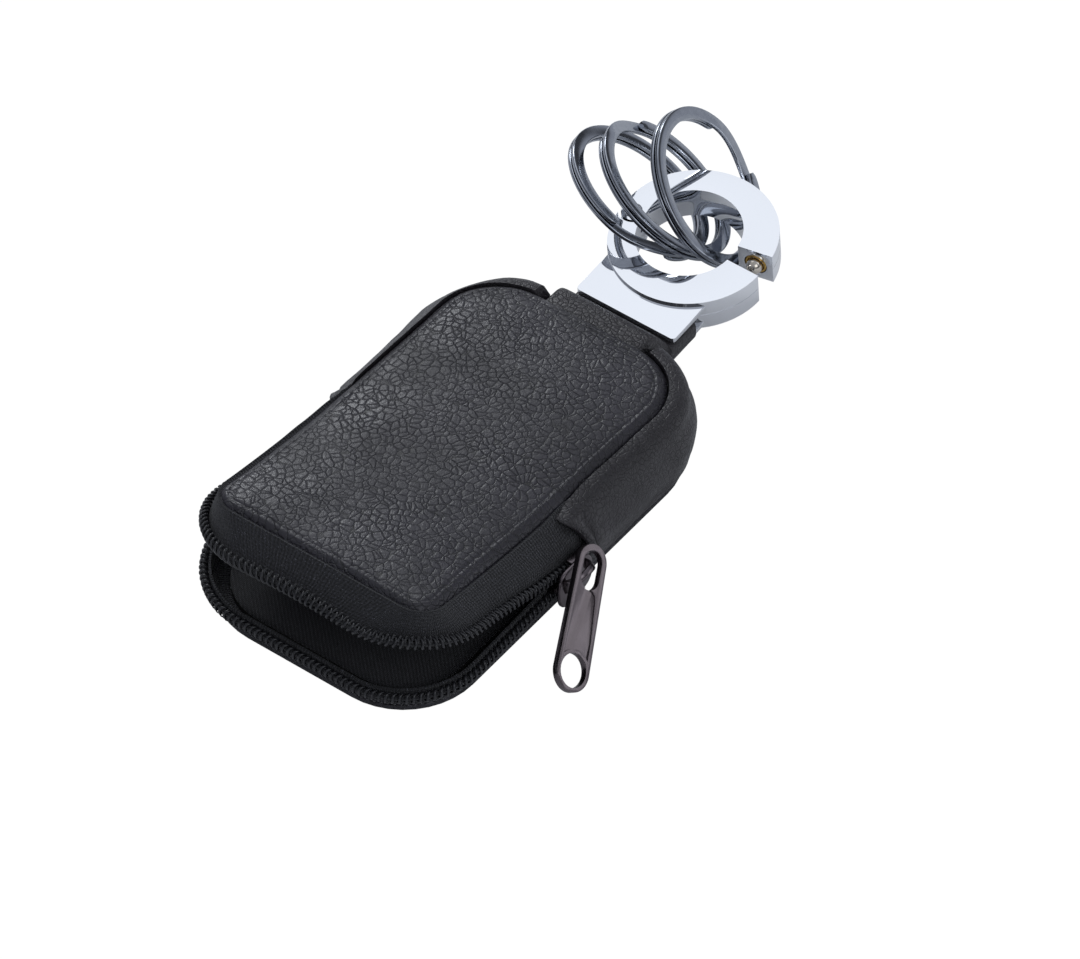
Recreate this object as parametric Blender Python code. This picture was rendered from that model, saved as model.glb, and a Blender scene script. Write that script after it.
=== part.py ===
"""Zip key pouch: leather pouch with a zip mouth, a hanger strap and a swivel-gate clasp with split rings.

The pouch lies on its rear panel. +X is the side where the zip slider stands, +Y points from the mouth
to the clasp and +Z is up. The origin is the centre of the rear panel's underside.
"""
import math

import bmesh
import bpy
from mathutils import Matrix, Vector

# General
TOUCH_GAP = 0.0003
CUT_OVERRUN = 0.002

# Rear panel, which is also the plan of the side wall
REAR_HALF_WIDTH = 0.0290
REAR_MOUTH_Y = -0.0495
REAR_CLOSED_Y = 0.0455
REAR_MOUTH_RADIUS = 0.0165
REAR_CLOSED_RADIUS = 0.0165
REAR_THICKNESS = 0.0014
LINING_THICKNESS = 0.0005
BOARD_THICKNESS = 0.0008
LINER_INSET = 0.0030

# Front panel, raised on the wall and smaller than it
FRONT_HALF_WIDTH = 0.0256
FRONT_MOUTH_Y = -0.0432
FRONT_CLOSED_Y = 0.0424
FRONT_MOUTH_RADIUS = 0.0055
FRONT_CLOSED_RADIUS = 0.0135
FRONT_HEIGHT = 0.0200
FRONT_FOLD_RISE = 0.0018
FRONT_MOUTH_RISE = 0.0050
FRONT_CROWN = 0.0019
FRONT_EDGE_DROP = 0.0009
FRONT_THICKNESS = 0.0014
FOAM_THICKNESS = 0.0010
FOAM_INSET = 0.0020

# Side wall of leather round the closed end
WALL_THICKNESS = 0.0013
WALL_END_Y = 0.0004
WALL_LOW_BULGE = 0.0010
WALL_MID_BULGE = 0.0015
WALL_SHOULDER_HEIGHT = 0.0146
WALL_LINING_THICKNESS = 0.0004

# Zip: two lips that part at the slider
ZIP_AXIS_Y = -0.0065
ZIP_LINE_HEIGHT = 0.0092
ZIP_LOWER_MOUTH_HEIGHT = 0.0070
ZIP_UPPER_MOUTH_HEIGHT = 0.0195
ZIP_HALF_WIDTH = 0.0300
ZIP_MOUTH_Y = -0.0500
ZIP_MOUTH_RADIUS = 0.0165
LIP_KNEE_SHARE = 0.5
UPRIGHT_START_Y = -0.0130
UPRIGHT_END_Y = -0.0280
TAPE_THICKNESS = 0.0006
TAPE_FOOT_HEIGHT = 0.0019
COIL_WIDTH = 0.0026
COIL_THICKNESS = 0.0020
COIL_PITCH = 0.0019
COIL_NECK_SHARE = 0.78
COIL_HALF_GAP = 0.00025

# Zip slider and its pull
SLIDER_LENGTH = 0.0105
SLIDER_WIDTH = 0.0094
SLIDER_NOSE_WIDTH = 0.0078
SLIDER_PLATE = 0.0009
SLIDER_FLANGE = 0.0008
SLIDER_POST_LENGTH = 0.0022
SLIDER_POST_WIDTH = 0.0005
SLIDER_POST_TIP = 0.0001
SLIDER_POST_RISE = 0.0008
SLIDER_FLANGE_DEPTH = 0.0017
BRIDGE_WIDTH = 0.0030
BRIDGE_HEIGHT = 0.0038
BRIDGE_LENGTH = 0.0078
BRIDGE_THICKNESS = 0.0008
BRIDGE_FULLNESS_SHARE = 0.7
BRIDGE_WAIST_SHARE = 0.5
BRIDGE_RISE = 0.0010
BRIDGE_LEAN_DEG = 45.0
PULL_LENGTH = 0.0292
PULL_EYE_RADIUS = 0.0036
PULL_EYE_HOLE_RADIUS = 0.0024
PULL_EYE_SLOT = 0.0030
PULL_EYE_OFF_X = -0.00118
PULL_EYE_OFF_Y = 0.00005
PULL_EYE_OFF_Z = 0.00087
PULL_END_RADIUS = 0.0042
PULL_END_HOLE_RADIUS = 0.0032
PULL_THICKNESS = 0.0013
PULL_PANEL_DEPTH = 0.0003
PULL_RIM = 0.0009
PULL_SWING_DEG = 25.6
PULL_DROOP_DEG = 27.3
PULL_ROLL_DEG = 50.0

# Clasp: plate, fixed half ring and swivelling gate, in a frame of its own
CLASP_X = 0.0004
CLASP_Y = 0.0534
CLASP_Z = 0.0128
CLASP_PITCH_DEG = 5.4
PLATE_HALF_WIDTH = 0.0119
PLATE_TOP = 0.0011
PLATE_BOTTOM = 0.0010
STRAP_THICKNESS = 0.0030
RING_CENTRE_Y = 0.0219
RING_OUTER_RADIUS = 0.01645
RING_INNER_RADIUS = 0.01020
RING_INNER_SHIFT_X = -0.0012
RING_INNER_SHIFT_Y = 0.0004
RING_PROUD = 0.0011
RING_THICKNESS = 0.0075
RING_CHAMFER = 0.0003
GATE_REST_DEG = 9.6
GATE_END_GAP = 0.0003
PIN_RADIUS = 0.0011
PIN_HEAD_RADIUS = 0.0018
PIN_HEAD_HEIGHT = 0.0005
PIN_CLEARANCE = 0.00005
STUD_BALL_RADIUS = 0.0017
STUD_NECK_RADIUS = 0.0009
STUD_REACH = 0.0022
STUD_ROOT_DEPTH = 0.0030
COLLAR_RADIUS = 0.0024
COLLAR_DEPTH = 0.0012
SOCKET_RADIUS = 0.0022
SOCKET_DEPTH = 0.0030
RIVET_RADIUS = 0.0009
RIVET_HEAD_RADIUS = 0.0016
RIVET_HEAD_HEIGHT = 0.0005
RIVET_SPREAD = 0.0065
RIVET_Y = 0.0032

# Strap from the closed end to the clasp plate
STRAP_HALF_WIDTH = 0.0117
STRAP_SLOPE_DEG = 55.0
STRAP_BEND_RADIUS = 0.0026
STRAP_REACH = 0.0105
STRAP_BEND_STEPS = 5

# Split rings
SPLIT_RADIUS = 0.0154
SPLIT_WIRE_WIDTH = 0.0026
SPLIT_WIRE_THICKNESS = 0.0009
SPLIT_TURN_GAP = 0.0003
SPLIT_RAMP_DEG = 24.0

# Azimuth and elevation of the axis, centre, point where it hangs on the gate, and place of the wire's end
SPLIT_RING_PLACES = (
    (23.5, 38.0, (-0.00397, 0.08668, 0.01885), (-0.0004, 0.0911, 0.0137), -35.5),
    (41.0, 49.0, (-0.01115, 0.08237, 0.01755), (-0.00895, 0.08803, 0.01341), 20.0),
    (44.5, 54.0, (-0.01533, 0.07927, 0.01645), (-0.01166, 0.08498, 0.01312), 148.0),
)

# How finely round shapes are cut
CORNER_STEPS = 8
LEG_STEPS = 6
SPAN_STEPS = 8
ROUND_STEPS = 24
HALF_RING_STEPS = 20
SPLIT_STEPS = 52


def material(name, colour, roughness, metallic):
    """Principled material with one linear base colour."""
    finish = bpy.data.materials.new(name)
    finish.use_nodes = True
    shader = finish.node_tree.nodes["Principled BSDF"]
    shader.inputs["Base Color"].default_value = (*colour, 1.0)
    shader.inputs["Roughness"].default_value = roughness
    shader.inputs["Metallic"].default_value = metallic
    return finish


def add_object(name, mesh_data, finish, smooth_deg=35.0):
    """Link a bmesh to the scene as one named object."""
    bmesh.ops.recalc_face_normals(mesh_data, faces=mesh_data.faces)
    mesh = bpy.data.meshes.new(name)
    mesh_data.to_mesh(mesh)
    mesh_data.free()
    part = bpy.data.objects.new(name, mesh)
    bpy.context.collection.objects.link(part)
    mesh.materials.append(finish)
    mesh.shade_smooth()
    mesh.set_sharp_from_angle(angle=math.radians(smooth_deg))
    return part


def loft(rings, closed=False):
    """Skin rings of equal point counts, capped at both ends unless the rings close on themselves."""
    mesh = bmesh.new()
    rows = [[mesh.verts.new(point) for point in ring] for ring in rings]
    count = len(rows[0])
    spans = len(rows) if closed else len(rows) - 1
    for i in range(spans):
        low, high = rows[i], rows[(i + 1) % len(rows)]
        for j in range(count):
            k = (j + 1) % count
            mesh.faces.new((low[j], low[k], high[k], high[j]))
    if not closed:
        mesh.faces.new(rows[0][::-1])
        mesh.faces.new(rows[-1])
    return mesh


def prism(outline, low, high):
    """Extrude a plan outline between two heights."""
    return loft([[Vector((x, y, z)) for x, y in outline] for z in (low, high)])


def boolean(part, cutter, operation):
    """Apply an exact Boolean and delete the cutter."""
    step = part.modifiers.new(operation.lower(), "BOOLEAN")
    step.object = cutter
    step.operation = operation
    step.solver = "EXACT"
    bpy.context.view_layer.update()
    graph = bpy.context.evaluated_depsgraph_get()
    result = bpy.data.meshes.new_from_object(part.evaluated_get(graph))
    part.modifiers.clear()
    part.data = result
    bpy.data.objects.remove(cutter)
    part.data.set_sharp_from_angle(angle=math.radians(35.0))


def cylinder(radius, low, high, steps=ROUND_STEPS, x=0.0, y=0.0):
    """Round bar along Z as a bmesh."""
    circle = [(x + radius * math.cos(math.tau * i / steps), y + radius * math.sin(math.tau * i / steps))
              for i in range(steps)]
    return prism(circle, low, high)


def turned(profile, steps=ROUND_STEPS):
    """Revolve a closed (radius, z) profile about Z."""
    rings = []
    for i in range(steps):
        angle = math.tau * i / steps
        rings.append([Vector((r * math.cos(angle), r * math.sin(angle), z)) for r, z in profile])
    return loft(rings, closed=True)


def ease(share):
    """Smooth step from 0 to 1."""
    share = min(max(share, 0.0), 1.0)
    return share * share * (3.0 - 2.0 * share)


# Plan outlines

def mouth_path(half_width, start_y, far_y, radius):
    """Plan points with outward normals from the right leg round the mouth to the left leg."""
    sign = 1.0 if far_y > start_y else -1.0
    corner_y = far_y - sign * radius
    points = []
    for i in range(LEG_STEPS):
        y = start_y + (corner_y - start_y) * i / LEG_STEPS
        points.append((half_width, y, 1.0, 0.0))
    for i in range(CORNER_STEPS):
        angle = sign * math.pi / 2 * i / CORNER_STEPS
        nx, ny = math.cos(angle), math.sin(angle)
        points.append((half_width - radius + radius * nx, corner_y + radius * ny, nx, ny))
    for i in range(SPAN_STEPS + 1):
        x = (half_width - radius) * (1.0 - 2.0 * i / SPAN_STEPS)
        points.append((x, far_y, 0.0, sign))
    mirrored = [(-x, y, -nx, ny) for x, y, nx, ny in reversed(points[:LEG_STEPS + CORNER_STEPS])]
    return points + mirrored


def outline_loop(half_width, mouth_y, closed_y, mouth_radius, closed_radius):
    """Whole plan outline, starting at the right side and going round the mouth."""
    middle = (mouth_y + closed_y) / 2
    mouth = mouth_path(half_width, middle, mouth_y, mouth_radius)
    closed = mouth_path(half_width, middle, closed_y, closed_radius)
    return [p[:2] for p in mouth] + [p[:2] for p in reversed(closed[1:-1])]


def half_width_at(y, half_width, mouth_y, closed_y, mouth_radius, closed_radius):
    """Half width of a rounded rectangle at one station of its length."""
    if y < mouth_y + mouth_radius:
        drop = mouth_y + mouth_radius - y
        return half_width - mouth_radius + math.sqrt(max(mouth_radius ** 2 - drop ** 2, 0.0))
    if y > closed_y - closed_radius:
        drop = y - closed_y + closed_radius
        return half_width - closed_radius + math.sqrt(max(closed_radius ** 2 - drop ** 2, 0.0))
    return half_width


# Heights along the pouch

def front_edge_height(y):
    """Height of the front panel's upper edge: nearly level over the wall, lifted past the fold."""
    if y > ZIP_AXIS_Y:
        return FRONT_HEIGHT + FRONT_FOLD_RISE * (FRONT_CLOSED_Y - y) / (FRONT_CLOSED_Y - ZIP_AXIS_Y)
    share = (ZIP_AXIS_Y - y) / (ZIP_AXIS_Y - FRONT_MOUTH_Y)
    start_slope = FRONT_FOLD_RISE / (FRONT_CLOSED_Y - ZIP_AXIS_Y) * (ZIP_AXIS_Y - FRONT_MOUTH_Y)
    return FRONT_HEIGHT + FRONT_FOLD_RISE + start_slope * share + (FRONT_MOUTH_RISE - start_slope) * share ** 1.6


def lower_zip_height(y):
    """Top edge of the lower tape, falling evenly from the slider to the mouth."""
    share = (ZIP_AXIS_Y - y) / (ZIP_AXIS_Y - ZIP_MOUTH_Y)
    return ZIP_LINE_HEIGHT - COIL_HALF_GAP + (ZIP_LOWER_MOUTH_HEIGHT - ZIP_LINE_HEIGHT) * share


def upper_zip_height(y):
    """Bottom edge of the upper tape, rising from the slider to the mouth."""
    share = max((ZIP_AXIS_Y - y) / (ZIP_AXIS_Y - ZIP_MOUTH_Y), 0.0)
    return ZIP_LINE_HEIGHT + COIL_HALF_GAP + (ZIP_UPPER_MOUTH_HEIGHT - ZIP_LINE_HEIGHT) * share


# Panels

def panel_solid(inset, top_offset, thickness, start_y, stop_y, edge_drop):
    """Part of the front panel's stack: a crowned sheet between two stations of its length."""
    plan = (FRONT_HALF_WIDTH - inset, FRONT_MOUTH_Y + inset, FRONT_CLOSED_Y - inset,
            FRONT_MOUTH_RADIUS, FRONT_CLOSED_RADIUS - inset)
    low_y, high_y = max(start_y, plan[1]), min(stop_y, plan[2])
    stations = {low_y, high_y}
    for i in range(CORNER_STEPS + 1):
        bend = math.cos(math.pi / 2 * i / CORNER_STEPS)
        stations.add(plan[1] + plan[3] * (1.0 - bend))
        stations.add(plan[2] - plan[4] * (1.0 - bend))
    for i in range(1, SPAN_STEPS):
        stations.add(plan[1] + (plan[2] - plan[1]) * i / SPAN_STEPS)
    ordered = []
    for y in sorted(y for y in stations if low_y <= y <= high_y):
        if not ordered or y - ordered[-1] > TOUCH_GAP:
            ordered.append(y)
    ordered[-1] = high_y
    across_shares = (-1.0, -0.975, -0.92, -0.8, -0.5, 0.0, 0.5, 0.8, 0.92, 0.975, 1.0)
    length = (plan[2] - plan[1]) / 2
    middle = (plan[2] + plan[1]) / 2
    rings = []
    for y in ordered:
        width = half_width_at(y, *plan)
        end_share = min(abs(y - middle) / length, 1.0)
        ring = []
        for share in across_shares:
            crown = FRONT_CROWN * (1.0 - abs(share) ** 3) * (1.0 - end_share ** 6)
            edge = edge_drop * (1.0 - (1.0 - abs(share) ** 24) * (1.0 - end_share ** 40))
            ring.append((share * width, crown, edge))
        base = front_edge_height(y) - top_offset
        top = [Vector((x, y, base + crown - edge)) for x, crown, edge in ring]
        bottom = [Vector((x, y, base + crown - thickness)) for x, crown, edge in reversed(ring)]
        rings.append(top + bottom)
    return loft(rings)


def build_front_stack(finishes):
    """Leather, foam and lining of the front, each parted at the fold beside the slider."""
    fold_low = ZIP_AXIS_Y - TOUCH_GAP / 2
    fold_high = ZIP_AXIS_Y + TOUCH_GAP / 2
    layers = (("front_panel", "front_flap", 0.0, 0.0, FRONT_THICKNESS, FRONT_EDGE_DROP, "leather"),
              ("front_foam", "flap_foam", FOAM_INSET, FRONT_THICKNESS + TOUCH_GAP, FOAM_THICKNESS, 0.0, "foam"),
              ("front_lining", "flap_lining", FOAM_INSET, FRONT_THICKNESS + FOAM_THICKNESS + 2 * TOUCH_GAP,
               LINING_THICKNESS, 0.0, "lining"))
    for fixed_name, moving_name, inset, offset, thickness, drop, finish in layers:
        fixed = panel_solid(inset, offset, thickness, fold_high, FRONT_CLOSED_Y, drop)
        add_object(fixed_name, fixed, finishes[finish])
        moving = panel_solid(inset, offset, thickness, FRONT_MOUTH_Y, fold_low, drop)
        add_object(moving_name, moving, finishes[finish])


def build_rear_stack(finishes):
    """Rear leather, stiffening board and lining, flat on each other."""
    outline = outline_loop(REAR_HALF_WIDTH, REAR_MOUTH_Y, REAR_CLOSED_Y, REAR_MOUTH_RADIUS, REAR_CLOSED_RADIUS)
    add_object("rear_panel", prism(outline, 0.0, REAR_THICKNESS), finishes["leather"])
    inner = outline_loop(REAR_HALF_WIDTH - LINER_INSET, REAR_MOUTH_Y + LINER_INSET, REAR_CLOSED_Y - LINER_INSET,
                         REAR_MOUTH_RADIUS - LINER_INSET, REAR_CLOSED_RADIUS - LINER_INSET)
    board_low = REAR_THICKNESS + TOUCH_GAP
    lining_low = board_low + BOARD_THICKNESS + TOUCH_GAP
    add_object("rear_board", prism(inner, board_low, board_low + BOARD_THICKNESS), finishes["board"])
    add_object("rear_lining", prism(inner, lining_low, lining_low + LINING_THICKNESS), finishes["lining"])


# Side wall

def wall_profile(edge_height):
    """Side wall's outer face as (share of the way in to the front panel, bulge, height)."""
    foot = REAR_THICKNESS + TOUCH_GAP
    rise = WALL_SHOULDER_HEIGHT - foot
    low_share, mid_share, turn_share = 0.25, 0.6, 0.5
    top = edge_height - FRONT_EDGE_DROP / 2
    return ((0.0, 0.0, foot),
            (0.0, WALL_LOW_BULGE, foot + rise * low_share),
            (0.0, WALL_MID_BULGE, foot + rise * mid_share),
            (0.0, WALL_LOW_BULGE, WALL_SHOULDER_HEIGHT),
            (turn_share, WALL_LOW_BULGE * turn_share, (WALL_SHOULDER_HEIGHT + top) / 2 + WALL_LOW_BULGE),
            (1.0, 0.0, top))


def build_wall(name, depth, thickness, finish):
    """Sheet that follows the side wall's profile round the closed end, at a depth under its face."""
    rear = mouth_path(REAR_HALF_WIDTH, WALL_END_Y, REAR_CLOSED_Y, REAR_CLOSED_RADIUS)
    front = mouth_path(FRONT_HALF_WIDTH + TOUCH_GAP, WALL_END_Y, FRONT_CLOSED_Y + TOUCH_GAP,
                       FRONT_CLOSED_RADIUS + TOUCH_GAP)
    rings = []
    for (rx, ry, nx, ny), (fx, fy, _, _) in zip(rear, front):
        step_in = (fx - rx) * nx + (fy - ry) * ny
        face, across = [], []
        for share, bulge, z in wall_profile(front_edge_height(min(fy, FRONT_CLOSED_Y))):
            x = rx + (fx - rx) * share + nx * bulge
            y = ry + (fy - ry) * share + ny * bulge
            face.append(Vector((x, y, z)))
            across.append((step_in * share + bulge, z))
        shift = []
        for i in range(len(face)):
            before, after = across[max(i - 1, 0)], across[min(i + 1, len(across) - 1)]
            along = Vector((after[0] - before[0], after[1] - before[1])).normalized()
            shift.append(Vector((-nx * along.y, -ny * along.y, along.x)))
        shift[-1] = Vector((0.0, 0.0, -1.0))
        sheet = [point + move * depth for point, move in zip(face, shift)]
        back = [point + move * (depth + thickness) for point, move in zip(face, shift)]
        sheet[0].z = back[0].z = face[0].z
        rings.append(sheet + back[::-1])
    add_object(name, loft(rings), finish)


# Zip lips

def lip_frames(upper):
    """Inner edge, outer edge and outward face direction along one lip."""
    outer = mouth_path(ZIP_HALF_WIDTH, WALL_END_Y - TOUCH_GAP, ZIP_MOUTH_Y, ZIP_MOUTH_RADIUS)
    if upper:
        step = TOUCH_GAP + TAPE_THICKNESS
        inner = mouth_path(FRONT_HALF_WIDTH + step, WALL_END_Y - TOUCH_GAP, FRONT_MOUTH_Y - step,
                           FRONT_MOUTH_RADIUS + step)
    else:
        inner = mouth_path(REAR_HALF_WIDTH, WALL_END_Y - TOUCH_GAP, REAR_MOUTH_Y, REAR_MOUTH_RADIUS)
    frames = []
    for (ix, iy, _, _), (ox, oy, nx, ny) in zip(inner, outer):
        if upper:
            foot = Vector((ix, iy, front_edge_height(iy) - FRONT_EDGE_DROP))
            edge = Vector((ox, oy, upper_zip_height(oy)))
        else:
            foot = Vector((ix, iy, TAPE_FOOT_HEIGHT))
            edge = Vector((ox, oy, lower_zip_height(oy)))
        out = Vector((nx, ny, 0.0))
        knee = foot.lerp(edge, LIP_KNEE_SHARE)
        if upper:
            upright = Vector((ox, oy, edge.z + SLIDER_WIDTH / 2 + TOUCH_GAP))
            knee = knee.lerp(upright, ease((oy - UPRIGHT_END_Y) / (UPRIGHT_START_Y - UPRIGHT_END_Y)))
        else:
            reach = (Vector((ox, oy, 0.0)) - Vector((ix, iy, 0.0))).length
            knee = Vector((ox, oy, TAPE_FOOT_HEIGHT + reach))
        along = (edge - knee).normalized()
        face = (out - along * out.dot(along)).normalized()
        frames.append((foot, edge, along, face, knee))
    return frames


def build_tape(name, frames, finish):
    """Woven zip tape, a thin band from the panel's edge to the coil."""
    rings = []
    for foot, edge, _, face, knee in frames:
        back = face * -TAPE_THICKNESS
        rings.append([foot, knee, edge, edge + back, knee + back, foot + back])
    return add_object(name, loft(rings), finish)


def build_coil(name, frames, finish):
    """Nylon coil sewn on the tape's outer face, drawn as a bar with a rib for each turn."""
    path = [edge + face * (TOUCH_GAP + COIL_THICKNESS / 2) - along * (COIL_WIDTH / 2)
            for _, edge, along, face, _ in frames]
    distances = [0.0]
    for a, b in zip(path, path[1:]):
        distances.append(distances[-1] + (b - a).length)
    turns = round(distances[-1] / COIL_PITCH)
    octagon_shares = [(math.cos(math.tau * (i + 0.5) / 8), math.sin(math.tau * (i + 0.5) / 8)) for i in range(8)]
    reach = 1.0 / math.cos(math.pi / 8)
    rings = []
    station = 0
    for step in range(2 * turns + 1):
        distance = distances[-1] * step / (2 * turns)
        while station < len(path) - 2 and distances[station + 1] < distance:
            station += 1
        share = (distance - distances[station]) / (distances[station + 1] - distances[station])
        centre = path[station].lerp(path[station + 1], share)
        along = frames[station][2].lerp(frames[station + 1][2], share).normalized()
        face = frames[station][3].lerp(frames[station + 1][3], share).normalized()
        size = 1.0 if step % 2 else COIL_NECK_SHARE
        rings.append([centre + along * (a * reach * size * COIL_WIDTH / 2)
                      + face * (b * reach * size * COIL_THICKNESS / 2) for a, b in octagon_shares])
    return add_object(name, loft(rings), finish)


# Slider and pull, in a frame whose +X is outward, +Y runs back to the closed end and +Z is up

def slider_matrix():
    """Frame at the slider's centre on the zip line, tilted along the lower lip."""
    slope = math.atan2(ZIP_LINE_HEIGHT - ZIP_LOWER_MOUTH_HEIGHT, ZIP_AXIS_Y - ZIP_MOUTH_Y)
    centre = Vector((ZIP_HALF_WIDTH + (TOUCH_GAP + COIL_THICKNESS - TAPE_THICKNESS) / 2, ZIP_AXIS_Y,
                     ZIP_LINE_HEIGHT))
    return Matrix.Translation(centre) @ Matrix.Rotation(slope, 4, "X")


def build_slider(finishes):
    """Zip slider: two plates joined by a post between the lips, flanges that hold the coils, and a bridge."""
    frame = slider_matrix()
    channel = (COIL_THICKNESS + TAPE_THICKNESS + TOUCH_GAP) / 2 + TOUCH_GAP
    outer = channel + SLIDER_PLATE
    half_length = SLIDER_LENGTH / 2
    plan = [(half_length, -SLIDER_NOSE_WIDTH / 2), (half_length, SLIDER_NOSE_WIDTH / 2),
            (0.0, SLIDER_WIDTH / 2), (-half_length, SLIDER_WIDTH / 2 - SLIDER_FLANGE),
            (-half_length, SLIDER_FLANGE - SLIDER_WIDTH / 2), (0.0, -SLIDER_WIDTH / 2)]

    def plate(low, high):
        return loft([[Vector((x, y, z)) for y, z in plan] for x in (low, high)])

    body = add_object("slider_body", plate(channel, outer), finishes["gunmetal"])
    inner = add_object("slider_inner", plate(-outer, -channel), finishes["gunmetal"])
    boolean(body, inner, "UNION")
    post_plan = [(-half_length, -SLIDER_POST_WIDTH / 2), (SLIDER_POST_LENGTH - half_length, -SLIDER_POST_TIP),
                 (SLIDER_POST_LENGTH - half_length, SLIDER_POST_TIP), (-half_length, SLIDER_POST_WIDTH / 2)]
    post = loft([[Vector((x, y, z + SLIDER_POST_RISE)) for y, z in post_plan]
                 for x in (-channel - SLIDER_PLATE / 2, channel + SLIDER_PLATE / 2)])
    boolean(body, add_object("slider_post", post, finishes["gunmetal"]), "UNION")
    for side in (-1.0, 1.0):
        low, high = SLIDER_NOSE_WIDTH / 2 - SLIDER_FLANGE, SLIDER_NOSE_WIDTH / 2
        ends = ((TOUCH_GAP, side * low), (half_length, side * low), (half_length, side * high),
                (TOUCH_GAP, side * high))
        flange = loft([[Vector((x, y, z)) for y, z in ends]
                       for x in (channel - SLIDER_FLANGE_DEPTH, channel + SLIDER_PLATE / 2)])
        boolean(body, add_object("slider_flange", flange, finishes["gunmetal"]), "UNION")
    lean = math.radians(BRIDGE_LEAN_DEG)
    out, side = Vector((math.cos(lean), 0.0, math.sin(lean))), Vector((-math.sin(lean), 0.0, math.cos(lean)))
    foot = Vector((channel + SLIDER_PLATE / 2, 0.0, BRIDGE_RISE))
    height = BRIDGE_HEIGHT + SLIDER_PLATE / 2
    steps = 8
    arch = []
    for i in range(steps + 1):
        angle = math.pi * i / steps
        arch.append(Vector((height * math.sin(angle) ** BRIDGE_FULLNESS_SHARE,
                            (BRIDGE_THICKNESS - BRIDGE_LENGTH) / 2 * math.cos(angle))))
    rings = []
    for i in range(steps + 1):
        along = (arch[min(i + 1, steps)] - arch[max(i - 1, 0)]).normalized()
        across = (out * -along.y + Vector((0.0, along.x, 0.0))) * (BRIDGE_THICKNESS / 2)
        centre = foot + out * arch[i].x + Vector((0.0, arch[i].y, 0.0))
        wide = side * (BRIDGE_WIDTH / 2 * (1.0 - BRIDGE_WAIST_SHARE * math.sin(math.pi * i / steps)))
        ring = [centre + across + wide, centre + across - wide, centre - across - wide, centre - across + wide]
        if i in (0, steps):
            ring = [point + out * ((foot.x - point.x) / out.x) for point in ring]
        rings.append(ring)
    boolean(body, add_object("slider_bridge", loft(rings), finishes["gunmetal"]), "UNION")
    body.matrix_world = frame
    shoulder = arch[steps * 3 // 4]
    return frame @ (foot + out * shoulder.x + Vector((0.0, shoulder.y, 0.0)))


def build_pull(pivot, finishes):
    """Pull tab hung by its long eye on the bridge, with a sunk face, a rim and a finger hole."""
    length = PULL_LENGTH - PULL_EYE_RADIUS - PULL_END_RADIUS
    steps = 12
    gunmetal = finishes["gunmetal"]
    outline = []
    for i in range(steps + 1):
        angle = math.pi * i / steps
        outline.append((PULL_EYE_RADIUS * math.cos(angle), PULL_EYE_RADIUS * math.sin(angle)))
    for i in range(steps + 1):
        angle = math.pi + math.pi * i / steps
        outline.append((PULL_END_RADIUS * math.cos(angle), PULL_END_RADIUS * math.sin(angle) - length))
    tab = add_object("pull_tab", prism(outline, -PULL_THICKNESS / 2, PULL_THICKNESS / 2), gunmetal)
    reach = PULL_THICKNESS / 2 + CUT_OVERRUN
    slot = []
    for i in range(steps + 1):
        angle = math.pi * i / steps
        slot.append((PULL_EYE_HOLE_RADIUS * math.cos(angle), PULL_EYE_HOLE_RADIUS * math.sin(angle)))
    slot += [(-x, -y - PULL_EYE_SLOT) for x, y in slot]
    boolean(tab, add_object("pull_eye_cut", prism(slot, -reach, reach), gunmetal), "DIFFERENCE")
    hole = add_object("pull_hole_cut", cylinder(PULL_END_HOLE_RADIUS, -reach, reach, 20, 0.0, -length), gunmetal)
    boolean(tab, hole, "DIFFERENCE")
    face = PULL_THICKNESS / 2 - PULL_PANEL_DEPTH
    top_y = -PULL_EYE_SLOT - PULL_EYE_HOLE_RADIUS - PULL_RIM
    low_y = -length + PULL_END_HOLE_RADIUS + PULL_RIM
    narrow = PULL_EYE_RADIUS - PULL_RIM
    wide = PULL_END_RADIUS - PULL_RIM
    panel = prism([(narrow, top_y), (-narrow, top_y), (-wide, low_y), (wide, low_y)], face, reach)
    boolean(tab, add_object("pull_panel_cut", panel, gunmetal), "DIFFERENCE")
    tab.data.transform(Matrix.Translation(Vector((PULL_EYE_OFF_X, PULL_EYE_OFF_Y, PULL_EYE_OFF_Z))))
    turn = (Matrix.Rotation(math.radians(PULL_SWING_DEG), 4, "Z")
            @ Matrix.Rotation(math.radians(PULL_DROOP_DEG), 4, "X")
            @ Matrix.Rotation(math.radians(PULL_ROLL_DEG), 4, "Y"))
    tab.matrix_world = Matrix.Translation(pivot) @ turn
    return tab


# Clasp, in a frame at the plate's near edge: +Y to the ring, +Z out of the plate

def clasp_matrix():
    """Where the clasp lies in the world."""
    return (Matrix.Translation(Vector((CLASP_X, CLASP_Y, CLASP_Z)))
            @ Matrix.Rotation(math.radians(CLASP_PITCH_DEG), 4, "X"))


def band_inner_radius(angle):
    """Distance from the ring's centre to the off-centre inner edge at one angle."""
    dx, dy = math.cos(angle), math.sin(angle)
    along = dx * RING_INNER_SHIFT_X + dy * RING_INNER_SHIFT_Y
    off = RING_INNER_SHIFT_X ** 2 + RING_INNER_SHIFT_Y ** 2
    return along + math.sqrt(along ** 2 - off + RING_INNER_RADIUS ** 2)


def band_sector(start_deg, stop_deg, steps=HALF_RING_STEPS):
    """Part of the clasp ring: a chamfered band swept round the ring's centre."""
    low, high = RING_PROUD - RING_THICKNESS, RING_PROUD
    bevel = RING_CHAMFER
    rings = []
    for i in range(steps + 1):
        angle = math.radians(start_deg + (stop_deg - start_deg) * i / steps)
        inner, outer = band_inner_radius(angle), RING_OUTER_RADIUS
        section = ((inner, low + bevel), (inner + bevel, low), (outer - bevel, low), (outer, low + bevel),
                   (outer, high - bevel), (outer - bevel, high), (inner + bevel, high), (inner, high - bevel))
        rings.append([Vector((r * math.cos(angle), RING_CENTRE_Y + r * math.sin(angle), z))
                      for r, z in section])
    return loft(rings)


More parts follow.
